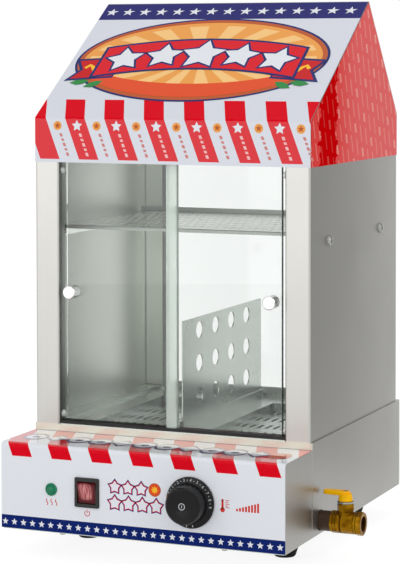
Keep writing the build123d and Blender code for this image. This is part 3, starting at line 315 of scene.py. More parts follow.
def addBump(tree, shader, height, strength, distance):
    bump = addNode(tree, "ShaderNodeBump", {"Height": height, "Strength": strength, "Distance": distance})
    feed(tree, shader, {"Normal": bump.outputs[0]})


def handled(tree, place, size, amount, specks):
    return useGroup(tree, handling, {"Place": place, "Size": size, "Amount": amount, "Specks": specks})


# painted light and shade for the cabinet's sheet: gains for the chamber's inside, the posts' fronts and the
# sill
cabinetLightAndShade = {
    "wallInside": 150.6, "floorZ": 94.0, "topZ": 402.0, "backInside": 268.5, "postFrontY": 1.0,
    "roomGain": -0.34, "backGain": 0.0074, "mostGain": 1.35, "roomRed": -0.055, "roomBlue": -0.03,
    "frontGain": 0.24, "sillZ": 86.7, "sillY": 3.0, "sillGain": 0.42, "sillRed": 0.04, "sillBlue": -0.1,
}


def cabinetGain(tree, facts):
    # painted light and shade on the sheet: the chamber's inner faces run from darker at the front to lighter
    # at the back, with a slight green tint, the posts' fronts are painted lighter, and the sill under the
    # doors lighter and warmer
    x, y, z = cabinetMillimetres(tree)
    within = below(tree, mathNode(tree, "ABSOLUTE", x), facts["wallInside"])
    tall = between(tree, z, facts["floorZ"], facts["topZ"])
    room = times(tree, times(tree, within, tall), below(tree, y, facts["backInside"]))
    front = times(tree, room, below(tree, y, facts["postFrontY"]))
    inner = minus(tree, room, front)
    sill = times(tree, between(tree, z, facts["sillZ"], facts["floorZ"]), below(tree, y, facts["sillY"]))
    deep = timesPlus(tree, y, facts["backGain"], facts["roomGain"])
    deep = smaller(tree, deep, facts["mostGain"])
    gain = timesPlus(tree, front, facts["frontGain"], 1.0)
    gain = timesPlus(tree, inner, deep, gain)
    gain = timesPlus(tree, sill, facts["sillGain"], gain)

    def part(roomShare, sillShare):
        share = timesPlus(tree, inner, roomShare, timesPlus(tree, sill, sillShare, 1.0))
        return times(tree, gain, share)

    red = part(facts["roomRed"], facts["sillRed"])
    blue = part(facts["roomBlue"], facts["sillBlue"])
    return joined(tree, red, gain, blue)


shelfRimLightAndDull = {"backZ": 295.5, "frontZ": 294.6, "frontY": 47.5,
            "backGain": 0.25, "frontGain": -0.35, "dull": 0.4}


def shelfRims(tree, facts):
    # the shelf's two turned edges are duller than its top, with painted light making the back edge lighter
    # and painted shade the front lip darker
    y, z = cabinetMillimetres(tree)[1:]
    back = above(tree, z, facts["backZ"])
    front = times(tree, below(tree, z, facts["frontZ"]), below(tree, y, facts["frontY"]))
    gain = timesPlus(tree, back, facts["backGain"], 1.0)
    gain = timesPlus(tree, front, facts["frontGain"], gain)
    return gain, times(tree, plus(tree, back, front), facts["dull"])


steelWear = {"dark": 0.86, "light": 1.12, "roughSpread": 0.16,
             "smudgeSize": 9.0, "smudge": 0.16, "dust": 0.05}


def brushedSteel(name, tone, along, rough, grain, makePaintedLight=None, makeRimShadeAndDull=None):
    # makePaintedLight paints light and shade into each place's tone, makeRimShadeAndDull paints light and
    # shade on edges and makes them duller
    material, tree, shader = newFinish(name)
    place = objectPlace(tree)
    brushed = useGroup(tree, brushedGrain, {"Place": place, "Along": along, "Strength": grain})
    wear = steelWear
    marks = handled(tree, place, wear["smudgeSize"], wear["smudge"], wear["dust"])
    colour = mixColour(tree, brushed["Streaks"], toned(tone, wear["dark"]), toned(tone, wear["light"]))
    uneven = timesPlus(tree, brushed["Streaks"], wear["roughSpread"], rough - wear["roughSpread"] / 2)
    if makePaintedLight:
        colour = vectorNode(tree, "MULTIPLY", colour, makePaintedLight(tree, cabinetLightAndShade))
    if makeRimShadeAndDull:
        gain, dull = makeRimShadeAndDull(tree, shelfRimLightAndDull)
        colour = scaled(tree, colour, gain)
        uneven = plus(tree, uneven, dull)
    feed(tree, shader, {"Base Color": colour, "Roughness": plus(tree, uneven, marks["Smudge"]),
                        "Metallic": 1.0})
    addBump(tree, shader, brushed["Height"], 0.2, 0.00002)
    return material


film = {"skinRough": 0.16, "coatRough": 0.05, "bandCoat": 0.55, "ledgeCoat": 0.9}


def paintedPrint(name, makeColour, rough, mottle, shine, makeCoat=None, makeShine=None):
    # makeCoat gives the film a clear gloss in places, makeShine keeps its haze to some
    material, tree, shader = newFinish(name)
    colour = makeColour(tree)
    skin = useGroup(tree, filmSkin, {"Place": objectPlace(tree), "Colour": colour, "Mottle": mottle})
    feed(tree, shader, {"Base Color": skin["Colour"], "Coat Roughness": film["coatRough"],
                        "Roughness": plus(tree, skin["Rough"], rough - film["skinRough"])})
    if makeShine:
        shine = times(tree, makeShine(tree), shine)
    feed(tree, shader, {"Specular IOR Level": shine})
    if makeCoat:
        feed(tree, shader, {"Coat Weight": makeCoat(tree)})
    addBump(tree, shader, skin["Height"], 0.12, 0.0003)
    return material


def bandGloss(tree):
    z = cabinetMillimetres(tree)[2]
    return times(tree, below(tree, z, roof["eavesZ"] - 1), film["bandCoat"])


def ledgeGloss(tree):
    z = cabinetMillimetres(tree)[2]
    return times(tree, between(tree, z, panel["ledgeZ"] - 1.5, panel["ledgeZ"] + 2), film["ledgeCoat"])


inks = {
    "white": rgb(226, 229, 235), "roofWhite": rgb(215, 218, 227), "red": rgb(218, 3, 28),
    "deepRed": rgb(200, 2, 8), "gableRed": rgb(226, 30, 26), "labelRed": rgb(208, 50, 44),
    "brick": rgb(206, 128, 122), "salmon": rgb(244, 158, 146), "palePink": rgb(240, 190, 190),
    "navy": rgb(12, 34, 104), "roofNavySheen": rgb(50, 50, 114), "purple": rgb(70, 40, 112),
    "brown": rgb(188, 88, 40), "orange": rgb(226, 78, 34), "tan": rgb(236, 160, 76),
    "lightTan": rgb(246, 198, 128), "yellow": rgb(250, 190, 44), "green": rgb(40, 136, 66),
    "figureGrey": rgb(196, 198, 202),
}


def stripeRow(tree, facts, across, up):
    return useGroup(tree, leaningStripes, {
        "Across": across, "Up": up, "Lean": facts["lean"], "First": facts["first"], "Pitch": facts["pitch"],
        "Width": facts["width"]})["Stripe"]


roofPrint = {"first": -160.9, "pitch": 44.35, "width": 22.2, "lean": 0.375, "rowTop": 31.4, "whiteEdge": 3.2,
             "navyLow": 178.5}


def roofColours(tree):
    x, y, z = cabinetMillimetres(tree)
    # up is 0 at the eaves, negative down the band, positive up the slope
    upSlope = divided(tree, larger(tree, y, 0.0), math.cos(roofSlope))
    downBand = smaller(tree, minus(tree, z, roof["eavesZ"]), 0.0)
    up = plus(tree, upSlope, downBand)
    inRow = between(tree, up, roof["fasciaZ"] - roof["eavesZ"] + roofPrint["whiteEdge"], roofPrint["rowTop"])
    stripe = times(tree, stripeRow(tree, roofPrint, x, up), inRow)
    colour = mixColour(tree, stripe, inks["roofWhite"], inks["red"])
    # the navy top is a lighter navy than the panel's, with painted sheen in its colour
    return mixColour(tree, above(tree, up, roofPrint["navyLow"]), colour, inks["roofNavySheen"])


panelPrint = {"first": -145.0, "pitch": 44.4, "width": 22.2, "lean": 0.375, "blockLow": 72.8, "navyTop": 13.1}


def panelColours(tree):
    x, y, z = cabinetMillimetres(tree)
    back = larger(tree, minus(tree, y, panel["frontY"]), 0.0)
    down = smaller(tree, minus(tree, z, panel["ledgeZ"]), 0.0)
    blocks = above(tree, z, panelPrint["blockLow"])
    stripe = stripeRow(tree, panelPrint, x, plus(tree, back, down))
    colour = mixColour(tree, times(tree, stripe, blocks), inks["white"], inks["red"])
    return mixColour(tree, below(tree, z, panelPrint["navyTop"]), colour, inks["navy"])


gablePrint = {
    "columnPitch": 15.2, "lean": 0.30, "columnSlip": 26.0, "longPeriod": 62.0, "thickWidth": 5.0,
    "thickRun": (0.04, 0.19), "thinWidth": 3.0, "thinRuns": ((0.30, 0.58), (0.66, 0.94)), "thinStrength": 0.6,
    "strength": 0.66, "bandStrength": 0.18, "bandFrom": 40.0, "bandTo": 92.0,
    "ragged": 32.0, "raggedY": 0.05, "raggedZ": 0.11,
}


def gableBand(tree):
    # an upright band near the front, its edges ragged, where the film shows no haze and its colours hold a
    # painted dark reflection
    y, z = cabinetMillimetres(tree)[1:]
    alongY = times(tree, y, gablePrint["raggedY"])
    alongZ = times(tree, z, gablePrint["raggedZ"])
    ragged = noise(tree, joined(tree, 0.0, alongY, alongZ), 1.0, detail=3.0)
    moved = timesPlus(tree, ragged, gablePrint["ragged"], y)
    return between(tree, moved, gablePrint["bandFrom"], gablePrint["bandTo"])


def gableShine(tree):
    return minus(tree, 1.0, gableBand(tree))


def gableColours(tree):
    # leaning columns of short thick streaks and longer thin ones
    facts = gablePrint
    y, z = cabinetMillimetres(tree)[1:]
    leaned = timesPlus(tree, z, facts["lean"], y)
    turns = divided(tree, leaned, facts["columnPitch"])
    offCentre = mathNode(tree, "ABSOLUTE", minus(tree, mathNode(tree, "FRACT", turns), 0.5))
    aside = times(tree, offCentre, facts["columnPitch"])
    slip = times(tree, mathNode(tree, "FLOOR", turns), facts["columnSlip"])
    share = mathNode(tree, "FRACT", divided(tree, plus(tree, z, slip), facts["longPeriod"]))
    thick = times(tree, between(tree, share, *facts["thickRun"]), below(tree, aside, facts["thickWidth"] / 2))
    thinOne, thinTwo = (between(tree, share, *run) for run in facts["thinRuns"])
    thin = times(tree, plus(tree, thinOne, thinTwo), below(tree, aside, facts["thinWidth"] / 2))
    marks = larger(tree, thick, times(tree, thin, facts["thinStrength"]))
    # in the band the red is painted deeper and the streaks fainter: a painted dark reflection
    deep = gableBand(tree)
    strength = timesPlus(tree, deep, facts["bandStrength"] - facts["strength"], facts["strength"])
    ground = mixColour(tree, deep, inks["gableRed"], inks["deepRed"])
    return mixColour(tree, times(tree, marks, strength), ground, inks["salmon"])


def inkColours(tree):
    return addNode(tree, "ShaderNodeAttribute", {}, attribute_name="ink").outputs["Color"]


doorGlass = {"tint": (0.852, 0.866, 0.857, 1), "shadow": (0.95, 0.98, 0.965, 1), "bend": 1.45,
             "lapHalf": 5.0, "lapBack": 24.0, "lapShare": 0.3, "lapColour": rgb(236, 248, 239)}


def clearGlass(name, facts):
    material, tree, shader = newFinish(name)
    marks = handled(tree, objectPlace(tree), 14.0, 0.02, 0.02)
    feed(tree, shader, {"Transmission Weight": 1.0, "IOR": facts["bend"], "Base Color": facts["tint"],
                        "Roughness": larger(tree, marks["Smudge"], 0.0)})
    # where the doors lap, a pale green strip is painted in: the double pane's green tint, with painted
    # reflection in its paleness
    x, y = cabinetMillimetres(tree)[:2]
    middle = below(tree, mathNode(tree, "ABSOLUTE", x), facts["lapHalf"])
    lapped = times(tree, middle, below(tree, y, facts["lapBack"]))
    strip = addNode(tree, "ShaderNodeBsdfDiffuse", {"Color": facts["lapColour"]}).outputs[0]
    lap = mixShader(tree, times(tree, lapped, facts["lapShare"]), shader.outputs[0], strip)
    clear = addNode(tree, "ShaderNodeBsdfTransparent", {"Color": facts["shadow"]}).outputs[0]
    path = addNode(tree, "ShaderNodeLightPath", {}).outputs
    feed(tree, tree.nodes["Material Output"], {"Surface": mixShader(tree, path["Is Shadow Ray"], lap, clear)})
    return material


def mouldedPlastic(name, colour, rough, texture=700.0, depth=0.00003, shine=0.4):
    material, tree, shader = newFinish(name)
    place = objectPlace(tree)
    marks = handled(tree, place, 60.0, 0.18, 0.15)
    dusty = tuple(c + 0.05 for c in colour[:3]) + (1,)
    feed(tree, shader, {"Base Color": mixColour(tree, marks["Dust"], colour, dusty),
                        "Roughness": plus(tree, marks["Smudge"], rough), "Specular IOR Level": shine})
    addBump(tree, shader, noise(tree, place, texture), 0.3, depth)
    return material


def turnedMetal(name, colour, rough):
    # fine tool marks, as on small turned and plated pieces
    material, tree, shader = newFinish(name)
    place = objectPlace(tree)
    cut = noise(tree, place, 2600.0, detail=1.0)
    marks = handled(tree, place, 90.0, 0.2, 0.1)
    feed(tree, shader, {"Base Color": mixColour(tree, cut, toned(colour, 0.8), colour), "Metallic": 1.0,
                        "Roughness": plus(tree, marks["Smudge"], rough)})
    addBump(tree, shader, cut, 0.15, 0.00002)
    return material


# groove is the colour of the painted shade in the grooves
valveBrass = {"colour": rgb(150, 108, 15), "rough": 0.34, "tarnish": (0.5, 0.42, 0.34),
              "groove": rgb(66, 44, 6), "grooveWidth": 0.7, "shadedGrooves": (167.6, 170.2, 188.6, 191.4)}


def castBrass(name, facts):
    # sandy, tarnished in patches, with dark rings of painted shade where grooves are turned round the valve's
    # two ends
    material, tree, shader = newFinish(name)
    place = objectPlace(tree)
    patches = spread(tree, noise(tree, place, 95.0, detail=4.0, rough=0.65), 0.42, 0.66)
    dull = tuple(c * k for c, k in zip(facts["colour"], facts["tarnish"])) + (1,)
    worn = mixColour(tree, patches, facts["colour"], dull)
    x = cabinetMillimetres(tree)[0]
    # dark rings of painted shade where the grooves lie
    shadedGrooves = 0.0
    for groove in facts["shadedGrooves"]:
        shadedGrooves = larger(tree, shadedGrooves, between(tree, x, groove, groove + facts["grooveWidth"]))
    feed(tree, shader, {"Base Color": mixColour(tree, shadedGrooves, worn, facts["groove"]), "Metallic": 1.0,
                        "Roughness": timesPlus(tree, patches, 0.22, facts["rough"] - 0.05)})
    addBump(tree, shader, noise(tree, place, 850.0, detail=3.0), 0.3, 0.00006)
    return material


leverPaint = {"thin": rgb(255, 180, 2), "thick": rgb(255, 198, 10), "chipped": rgb(150, 120, 70),
              "shine": 0.1}


def dippedPaint(name, facts):
    material, tree, shader = newFinish(name)
    place = objectPlace(tree)
    dripsAndHighlights = noise(tree, place, 160.0)
    chips = noise(tree, place, 520.0, detail=3.0)
    colour = mixColour(tree, dripsAndHighlights, facts["thin"], facts["thick"])
    colour = mixColour(tree, spread(tree, chips, 0.70, 0.74), colour, facts["chipped"])
    feed(tree, shader, {"Base Color": colour,
                        "Roughness": timesPlus(tree, chips, 0.15, 0.22),
                        "Specular IOR Level": facts["shine"]})
    addBump(tree, shader, dripsAndHighlights, 0.2, 0.0002)
    return material


nipplePipe = {"dark": rgb(34, 25, 20), "pale": rgb(88, 66, 50), "halfPitch": 0.9, "metallic": 0.7}


def threadedPipe(name, facts):
    material, tree, shader = newFinish(name)
    scale = noise(tree, objectPlace(tree), 420.0, detail=4.0)
    thread = mathNode(tree, "PINGPONG", cabinetMillimetres(tree)[0], facts["halfPitch"])
    feed(tree, shader, {"Base Color": mixColour(tree, scale, facts["dark"], facts["pale"]),
                        "Roughness": timesPlus(tree, scale, 0.3, 0.3),
                        "Metallic": facts["metallic"]})
    addBump(tree, shader, timesPlus(tree, scale, 0.3, thread), 0.5, 0.0004)
    return material


lampGreen = {"edge": rgb(0, 88, 58), "middle": rgb(0, 142, 98), "glow": 0.04, "depth": 0.003}


def tintedLens(name, facts):
    material, tree, shader = newFinish(name)
    cloud = noise(tree, objectPlace(tree), 300.0)
    # the faint emission is a painted glow
    feed(tree, shader, {
        "Base Color": mixColour(tree, cloud, facts["edge"], facts["middle"]),
        "Roughness": timesPlus(tree, cloud, 0.12, 0.1),
        "Specular IOR Level": 0.25, "Coat Weight": 0.15,
        "Subsurface Weight": 0.15, "Subsurface Radius": (facts["depth"],) * 3,
        "Emission Color": facts["middle"], "Emission Strength": facts["glow"],
    })
    return material


rocker = {"x": -56.7, "z": 42.2, "lampX": -57.7, "lampZ": 43.2, "lampWide": 8.2, "lampHigh": 9.0,
          "dark": rgb(84, 16, 22), "lit": rgb(164, 72, 76), "pale": rgb(208, 142, 142), "glow": 0.04,
          "dripsWide": 0.75, "dripsHigh": 0.09}


def litRocker(name, facts):
    # clear red plastic over a small neon lamp, with its glow painted in: a lit middle with pale patches of
    # painted highlight below the top, darker towards the sides
    material, tree, shader = newFinish(name)
    x, z = cabinetMillimetres(tree)[::2]
    across = times(tree, minus(tree, x, facts["x"]), facts["dripsWide"])
    high = times(tree, minus(tree, z, facts["z"]), facts["dripsHigh"])
    dripsAndHighlights = noise(tree, joined(tree, across, high), 1.0, detail=2.5)

    def fade(value, middle, half, power):
        share = divided(tree, minus(tree, value, middle), half)
        return mathNode(tree, "POWER", mathNode(tree, "ABSOLUTE", share), power)

    reach = plus(tree, fade(x, facts["lampX"], facts["lampWide"], 3.0),
                     fade(z, facts["lampZ"], facts["lampHigh"], 4.0))
    inside = larger(tree, minus(tree, 1.0, reach), 0.0)
    # painted glow: lighter where the lamp lies, painted shade towards the sides
    body = mixColour(tree, inside, facts["dark"], facts["lit"])
    palest = times(tree, inside, spread(tree, dripsAndHighlights, 0.44, 0.58))
    colour = mixColour(tree, palest, body, facts["pale"])
    # the faint emission is a painted glow too
    feed(tree, shader, {"Base Color": colour, "Emission Color": colour, "Emission Strength": facts["glow"],
                        "Roughness": timesPlus(tree, dripsAndHighlights, 0.2, 0.08), "Specular IOR Level": 0.2})
    addBump(tree, shader, dripsAndHighlights, 0.2, 0.0002)
    return material


# how the brushing runs: the small number is the way along it
grainRuns = {"fineUpright": (1100, 1100, 9), "upright": (900, 900, 16), "across": (16, 900, 900)}
cabinetSteel = brushedSteel("cabinetSteel", rgb(170, 169, 165), grainRuns["fineUpright"], rough=0.39,
                            grain=0.35, makePaintedLight=cabinetGain)
innerSteel = brushedSteel("innerSteel", rgb(192, 199, 193), grainRuns["upright"], rough=0.26, grain=0.3)
shelfSteel = brushedSteel("shelfSteel", rgb(222, 226, 220), grainRuns["across"], rough=0.2, grain=0.25,
                          makeRimShadeAndDull=shelfRims)
platedSteel = turnedMetal("platedSteel", rgb(168, 168, 164), rough=0.24)
knobMetal = turnedMetal("knobMetal", rgb(232, 232, 232), rough=0.20)
roofFilm = paintedPrint("roofFilm", roofColours, rough=0.20, mottle=0.05, shine=0.03, makeCoat=bandGloss)
panelFilm = paintedPrint("panelFilm", panelColours, rough=0.09, mottle=0.04, shine=0.04, makeCoat=ledgeGloss)
gableFilm = paintedPrint("gableFilm", gableColours, rough=0.12, mottle=0.05, shine=0.14,
                         makeShine=gableShine)
printedInk = paintedPrint("printedInk", inkColours, rough=0.14, mottle=0.08, shine=0.12,
                          makeCoat=ledgeGloss)
paneGlass = clearGlass("paneGlass", doorGlass)
softClear = mouldedPlastic("softClear", rgb(206, 212, 208), rough=0.30, texture=300.0)
trackBlack = mouldedPlastic("trackBlack", rgb(24, 24, 24), rough=0.50)
dialBlack = mouldedPlastic("dialBlack", rgb(16, 16, 17), rough=0.22, texture=900.0, depth=0.00002,
                           shine=0.18)
brass = castBrass("valveBrass", valveBrass)
yellowPaint = dippedPaint("leverYellow", leverPaint)
darkPipe = threadedPipe("pipeBlack", nipplePipe)
seatWhite = mouldedPlastic("seatWhite", rgb(228, 228, 222), rough=0.5, texture=500.0)
greenLens = tintedLens("greenLens", lampGreen)
redRocker = litRocker("redRocker", rocker)
footRubber = mouldedPlastic("footRubber", rgb(20, 20, 20), rough=0.72, texture=420.0, depth=0.00008,
                            shine=0.15)
whiteCeramic = mouldedPlastic("whiteCeramic", rgb(226, 222, 212), rough=0.55, texture=260.0)
print("stage: finishes made")

finishes = {
    cabinetSteel: ["left_side_panel", "right_side_panel", "base_shell", "control_box", "roof_canopy"],
    innerSteel: ["chamber_ceiling", "bottom_cover", "water_tank", "chamber_floor", "left_steam_tray",
                 "right_steam_tray", "divider_rail", "divider_plate", "heating_element",
                 "thermostat_bulb", "thermostat_body"],
    shelfSteel: ["bun_shelf"],
    platedSteel: ["left_knob_screw", "right_knob_screw", "cover_screws", "foot_screws", "shelf_screws",
                  "m5_nuts", "stop_washer", "lever_screw", "thermostat_screws", "dial_shaft"],
    knobMetal: ["left_door_knob", "right_door_knob"],
    roofFilm: ["roof_decal"],
    panelFilm: ["panel_decal"],
    gableFilm: ["left_gable_decal", "right_gable_decal"],
    paneGlass: ["left_door_glass", "right_door_glass", "rear_glass"],
    softClear: ["door_bumpers", "rear_glass_trim"],
    trackBlack: ["lower_door_track", "upper_door_track", "cord_gland", "gland_lock_nut", "switch_housing",
                 "lamp_nut"],
    dialBlack: ["dial_knob"],
    brass: ["element_nuts", "valve_body", "valve_end", "valve_ball", "valve_stem", "packing_nut",
            "drain_elbow"],
    darkPipe: ["drain_nipple"],
    yellowPaint: ["valve_lever"],
    seatWhite: ["valve_seats"],
    greenLens: ["lamp_lens", "lamp_body"],
    redRocker: ["rocker_button"],
    footRubber: ["rubber_feet"],
    whiteCeramic: ["terminal_block"],
}
for finish, names in finishes.items():
    for name in names:
        nodes[name].data.materials.clear()
        nodes[name].data.materials.append(finish)
print("stage: finishes given to the packed nodes")


# outlines of printed shapes, in millimetres on their own surface
def starPoints(middle, size, points, inner, turn=0.0):
    corners = []
    for index in range(points * 2):
        reach = size if index % 2 == 0 else size * inner
        angle = turn + math.pi / 2 + index * math.pi / points
        corners.append((middle[0] + reach * math.cos(angle), middle[1] + reach * math.sin(angle)))
    return corners


def grownStar(middle, size, grow, turn, inner):
    # a larger star whose edge stands out by "grow" on every side, so by more at its points and notches
    point, notch = size + grow * 1.7, size * inner + grow * 1.15
    return starPoints(middle, point, 5, notch / point, turn)


def ovalPoints(middle, wide, high, steps=96, start=0.0, end=2 * math.pi):
    closed = abs(end - start - 2 * math.pi) < 1e-6
    count = steps if closed else steps + 1
    angles = [start + (end - start) * index / steps for index in range(count)]
    return [(middle[0] + wide * math.cos(a), middle[1] + high * math.sin(a)) for a in angles]


def strokePoints(line, width):
    # closed outline of a line of even width
    left, right = [], []
    for index, point in enumerate(line):
        before = line[max(index - 1, 0)]
        after = line[min(index + 1, len(line) - 1)]
        dx, dy = after[0] - before[0], after[1] - before[1]
        length = math.hypot(dx, dy)
        nx, ny = -dy / length * width / 2, dx / length * width / 2
        left.append((point[0] + nx, point[1] + ny))
        right.append((point[0] - nx, point[1] - ny))
    return left + right[::-1]


def meshOf(name, build, finish):
    data = bpy.data.meshes.new(name)
    build.to_mesh(data)
    build.free()
    data.materials.clear()
    data.materials.append(finish)
    return data


def layPiece(name, data, body="cabinet"):
    piece = addObject(name, data)
    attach(piece, body)


def printPiece(name, surface, shapes):
    # shapes: (outline, ink name, layer); each becomes flat faces lying on the surface
    build = bmesh.new()
    paint = build.loops.layers.float_color.new("ink")
    for outline, ink, layer in shapes:
        area = sum(a[0] * b[1] - b[0] * a[1] for a, b in zip(outline, outline[1:] + outline[:1]))
        ordered = outline if area > 0 else outline[::-1]
        corners = [build.verts.new(surface(u, v, printLift * (1 + layer))) for u, v in ordered]
        for loop in build.faces.new(corners).loops:
            loop[paint] = inks[ink]
    build.normal_update()
    bmesh.ops.triangulate(build, faces=build.faces[:])
    layPiece(name, meshOf(name, build, printedInk))


roofArt = {
    "middle": (-3.0, 104.0), "wide": 137.0, "high": 70.0, "edges": ((5, "navy"), (2.2, "brown"), (-3, "tan")),
    "rays": 18, "rayInset": 9,
    "crescent": (205, 335), "crescentUp": 16, "crescentWider": 6, "crescentLower": 10,
    "bannerHalf": 112.0, "bannerHigh": 50.0, "bannerEdge": 3.2, "bannerDrop": 6, "arch": 15.0,
    "tail": ((88, -34), (142, -40), (131, -20), (142, -1), (88, 4)),
    "tailInside": ((90, -31), (136.5, -36.5), (127.5, -20), (136.5, -4), (90, 1)),
    "wave": (98, -17), "waveSteps": 8, "waveStep": 4, "waveHigh": 5.5, "waveTurn": 1.35, "waveWide": 4.2,
    "stars": 5, "starPitch": 43.0, "starSize": 21.0, "middleStar": 1.22, "starInner": 0.52, "starEdge": 2.6,
    "starTurn": 6, "leaf": ((0, 0), (7, 4.5), (14, 5.2), (22, 0), (14, -4), (7, -4)), "leafY": -40,
    "leaves": ((0.5, 96), (0.15, 112)),
}


def roofArtwork(facts):
    # a banner of stars over a sunburst oval
    cx, cy = facts["middle"]
    wide, high = facts["wide"], facts["high"]
    shapes = [(ovalPoints((cx, cy), wide + grow, high + grow), ink, layer)
              for layer, (grow, ink) in enumerate(facts["edges"])]
    half = math.pi / facts["rays"] / 2
    for ray in range(facts["rays"]):
        angle = 2 * math.pi * ray / facts["rays"]
        far = [(cx + (wide - facts["rayInset"]) * math.cos(angle + half * t),
                cy + (high - facts["rayInset"]) * math.sin(angle + half * t)) for t in (-1, -0.5, 0, 0.5, 1)]
        shapes.append(([(cx, cy)] + far, "lightTan", 3))
    left, right = (math.radians(degrees) for degrees in facts["crescent"])
    inset = facts["edges"][-1][0]
    lowArc = ovalPoints((cx, cy), wide + inset, high + inset, 40, left, right)
    highArc = ovalPoints((cx, cy + facts["crescentUp"]), wide + facts["crescentWider"],
                         high - facts["crescentLower"], 40, right, left)
    shapes.append((lowArc + [p for p in highArc if p[1] > min(q[1] for q in lowArc)], "orange", 4))

    def arched(x, y):
        rise = facts["arch"] * (1 - (x / facts["bannerHalf"]) ** 2) - facts["bannerDrop"]
        return (cx + x, cy + y + rise)

    def aside(points, side):
        return [(cx + side * x, cy + y) for x, y in points]

    x, y = facts["wave"]
    wave = [(x + facts["waveStep"] * i, y + facts["waveHigh"] * math.sin(i * facts["waveTurn"]))
            for i in range(facts["waveSteps"])]
    for side in (-1, 1):
        shapes.append((aside(facts["tail"], side), "navy", 5))
        shapes.append((aside(facts["tailInside"], side), "deepRed", 6))
        shapes.append((strokePoints(aside(wave, side), facts["waveWide"]), "yellow", 7))
    xs = [facts["bannerHalf"] * (index / 24 - 1) for index in range(49)]
    for grow, ink, layer in ((facts["bannerEdge"], "navy", 8), (0.0, "red", 9)):
        longer, taller = 1 + grow / facts["bannerHalf"], facts["bannerHigh"] / 2 + grow
        upper, lower = ([arched(x * longer, y) for x in xs] for y in (taller, -taller))
        shapes.append((upper + lower[::-1], ink, layer))
    for index in range(facts["stars"]):
        step = index - (facts["stars"] - 1) // 2
        size = facts["starSize"] * (facts["middleStar"] if step == 0 else 1.0)
        turn = -math.radians(facts["starTurn"]) * step
        place = arched(step * facts["starPitch"], -1)
        shapes.append((grownStar(place, size, facts["starEdge"], turn, facts["starInner"]), "navy", 10))
        shapes.append((starPoints(place, size, 5, facts["starInner"], turn), "white", 11))
    for side in (-1, 1):
        for lean, far in facts["leaves"]:
            turned = [(far + x * math.cos(lean) - y * math.sin(lean),
                       facts["leafY"] - x * math.sin(lean) - y * math.cos(lean)) for x, y in facts["leaf"]]
            shapes.append((aside(turned, side), "green", 5))
    printPiece("roofArtwork", onRoof, shapes)


roofArtwork(roofArt)

emblem = {"rows": (((-26.5, 50.4), (-12.2, 50.4), (2.1, 50.4)),
                   ((-26.5, 34.6), (-11.6, 34.6), (3.3, 34.6), (18.2, 34.6))),
          "sizes": (6.0, 6.6), "inner": 0.6, "edges": ((1.5, "purple"), (0.6, "red")),
          "badge": (16.5, 50.8), "badgeRounds": ((6.6, "brown"), (5.6, "orange")),
          "badgeStar": (4.0, 8, 0.55)}


def frontEmblem(facts):
    # two rows of outlined stars and a small orange badge
    shapes = []
    for row, size in zip(facts["rows"], facts["sizes"]):
        for place in row:
            for layer, (grow, ink) in enumerate(facts["edges"]):
                shapes.append((grownStar(place, size, grow, 0.0, facts["inner"]), ink, layer))
            shapes.append((starPoints(place, size, 5, facts["inner"]), "white", 2))
    for layer, (radius, ink) in enumerate(facts["badgeRounds"]):
        shapes.append((ovalPoints(facts["badge"], radius, radius, 40), ink, layer))
    shapes.append((starPoints(facts["badge"], *facts["badgeStar"]), "yellow", 2))
    printPiece("frontEmblem", onPanel, shapes)


frontEmblem(emblem)

signs = {
    "heat": (-101.0, 26.5), "heatWaves": 3, "heatPitch": 5, "heatStep": 0.9, "heatWide": 0.9,
    "power": (-56.7, 21.8), "powerRadius": 2.7, "powerWide": 0.8, "powerStem": (0.2, 3.6),
    "thermometer": (88.0, 37.6), "bulb": 2.4, "tubeWide": 2.2, "tubeEnds": (0.9, 9.4),
    "marks": 5, "markX": 3, "markLow": 2.4, "markPitch": 1.7, "markReach": (4.2, 2.6), "markWide": 0.7,
    "level": (102.0, 37.4), "bars": 8, "barPitch": 3.1, "barWide": 2.0, "barFirst": 2.4, "barGrow": 0.95,
}


def controlSigns(facts):
    # heat waves under the lamp, power sign under the switch, thermometer and rising bars beside the dial
    outlines = []
    x, z = facts["heat"]
    step = facts["heatStep"]
    for index in range(facts["heatWaves"]):
        wave = [(x + index * facts["heatPitch"] + step * math.sin(i * step), z + i * step) for i in range(8)]
        outlines.append(strokePoints(wave, facts["heatWide"]))
    x, z = facts["power"]
    turns = [math.radians(degrees) for degrees in range(125, 416, 10)]
    ring = [(x + facts["powerRadius"] * math.cos(a), z + facts["powerRadius"] * math.sin(a)) for a in turns]
    stem = [(x, z + end) for end in facts["powerStem"]]
    outlines += [strokePoints(ring, facts["powerWide"]), strokePoints(stem, facts["powerWide"])]
    x, z = facts["thermometer"]
    tube = [(x, z + end) for end in facts["tubeEnds"]]
    outlines.append(strokePoints(tube, facts["tubeWide"]))
    outlines.append(ovalPoints((x, z), facts["bulb"], facts["bulb"], 28))
    outlines.append(ovalPoints(tube[1], facts["tubeWide"] / 2, facts["tubeWide"] / 2, 20))
    for index in range(facts["marks"]):
        left, high = x + facts["markX"], z + facts["markLow"] + index * facts["markPitch"]
        right = left + facts["markReach"][index % 2]
        outlines.append(strokePoints([(left, high), (right, high)], facts["markWide"]))
    x, z = facts["level"]
    for index in range(facts["bars"]):
        left = x + index * facts["barPitch"]
        right, top = left + facts["barWide"], z + facts["barFirst"] + index * facts["barGrow"]
        outlines.append([(left, z), (right, z), (right, top), (left, top)])
    printPiece("controlSigns", onPanel, [(outline, "labelRed", 0) for outline in outlines])


controlSigns(signs)

ledgeChain = {"first": -131.0, "pitch": 24.2, "count": 11, "middle": -37.0, "wide": 12.2, "deep": 16.5,
              "edgeWide": 1.8, "edgeDeep": 6.0, "eye": (4.4, 4.2),
              "end": (134.0, -38.0), "endRounds": ((11.0, 15.0, "brown"), (9.4, 11.0, "orange"))}


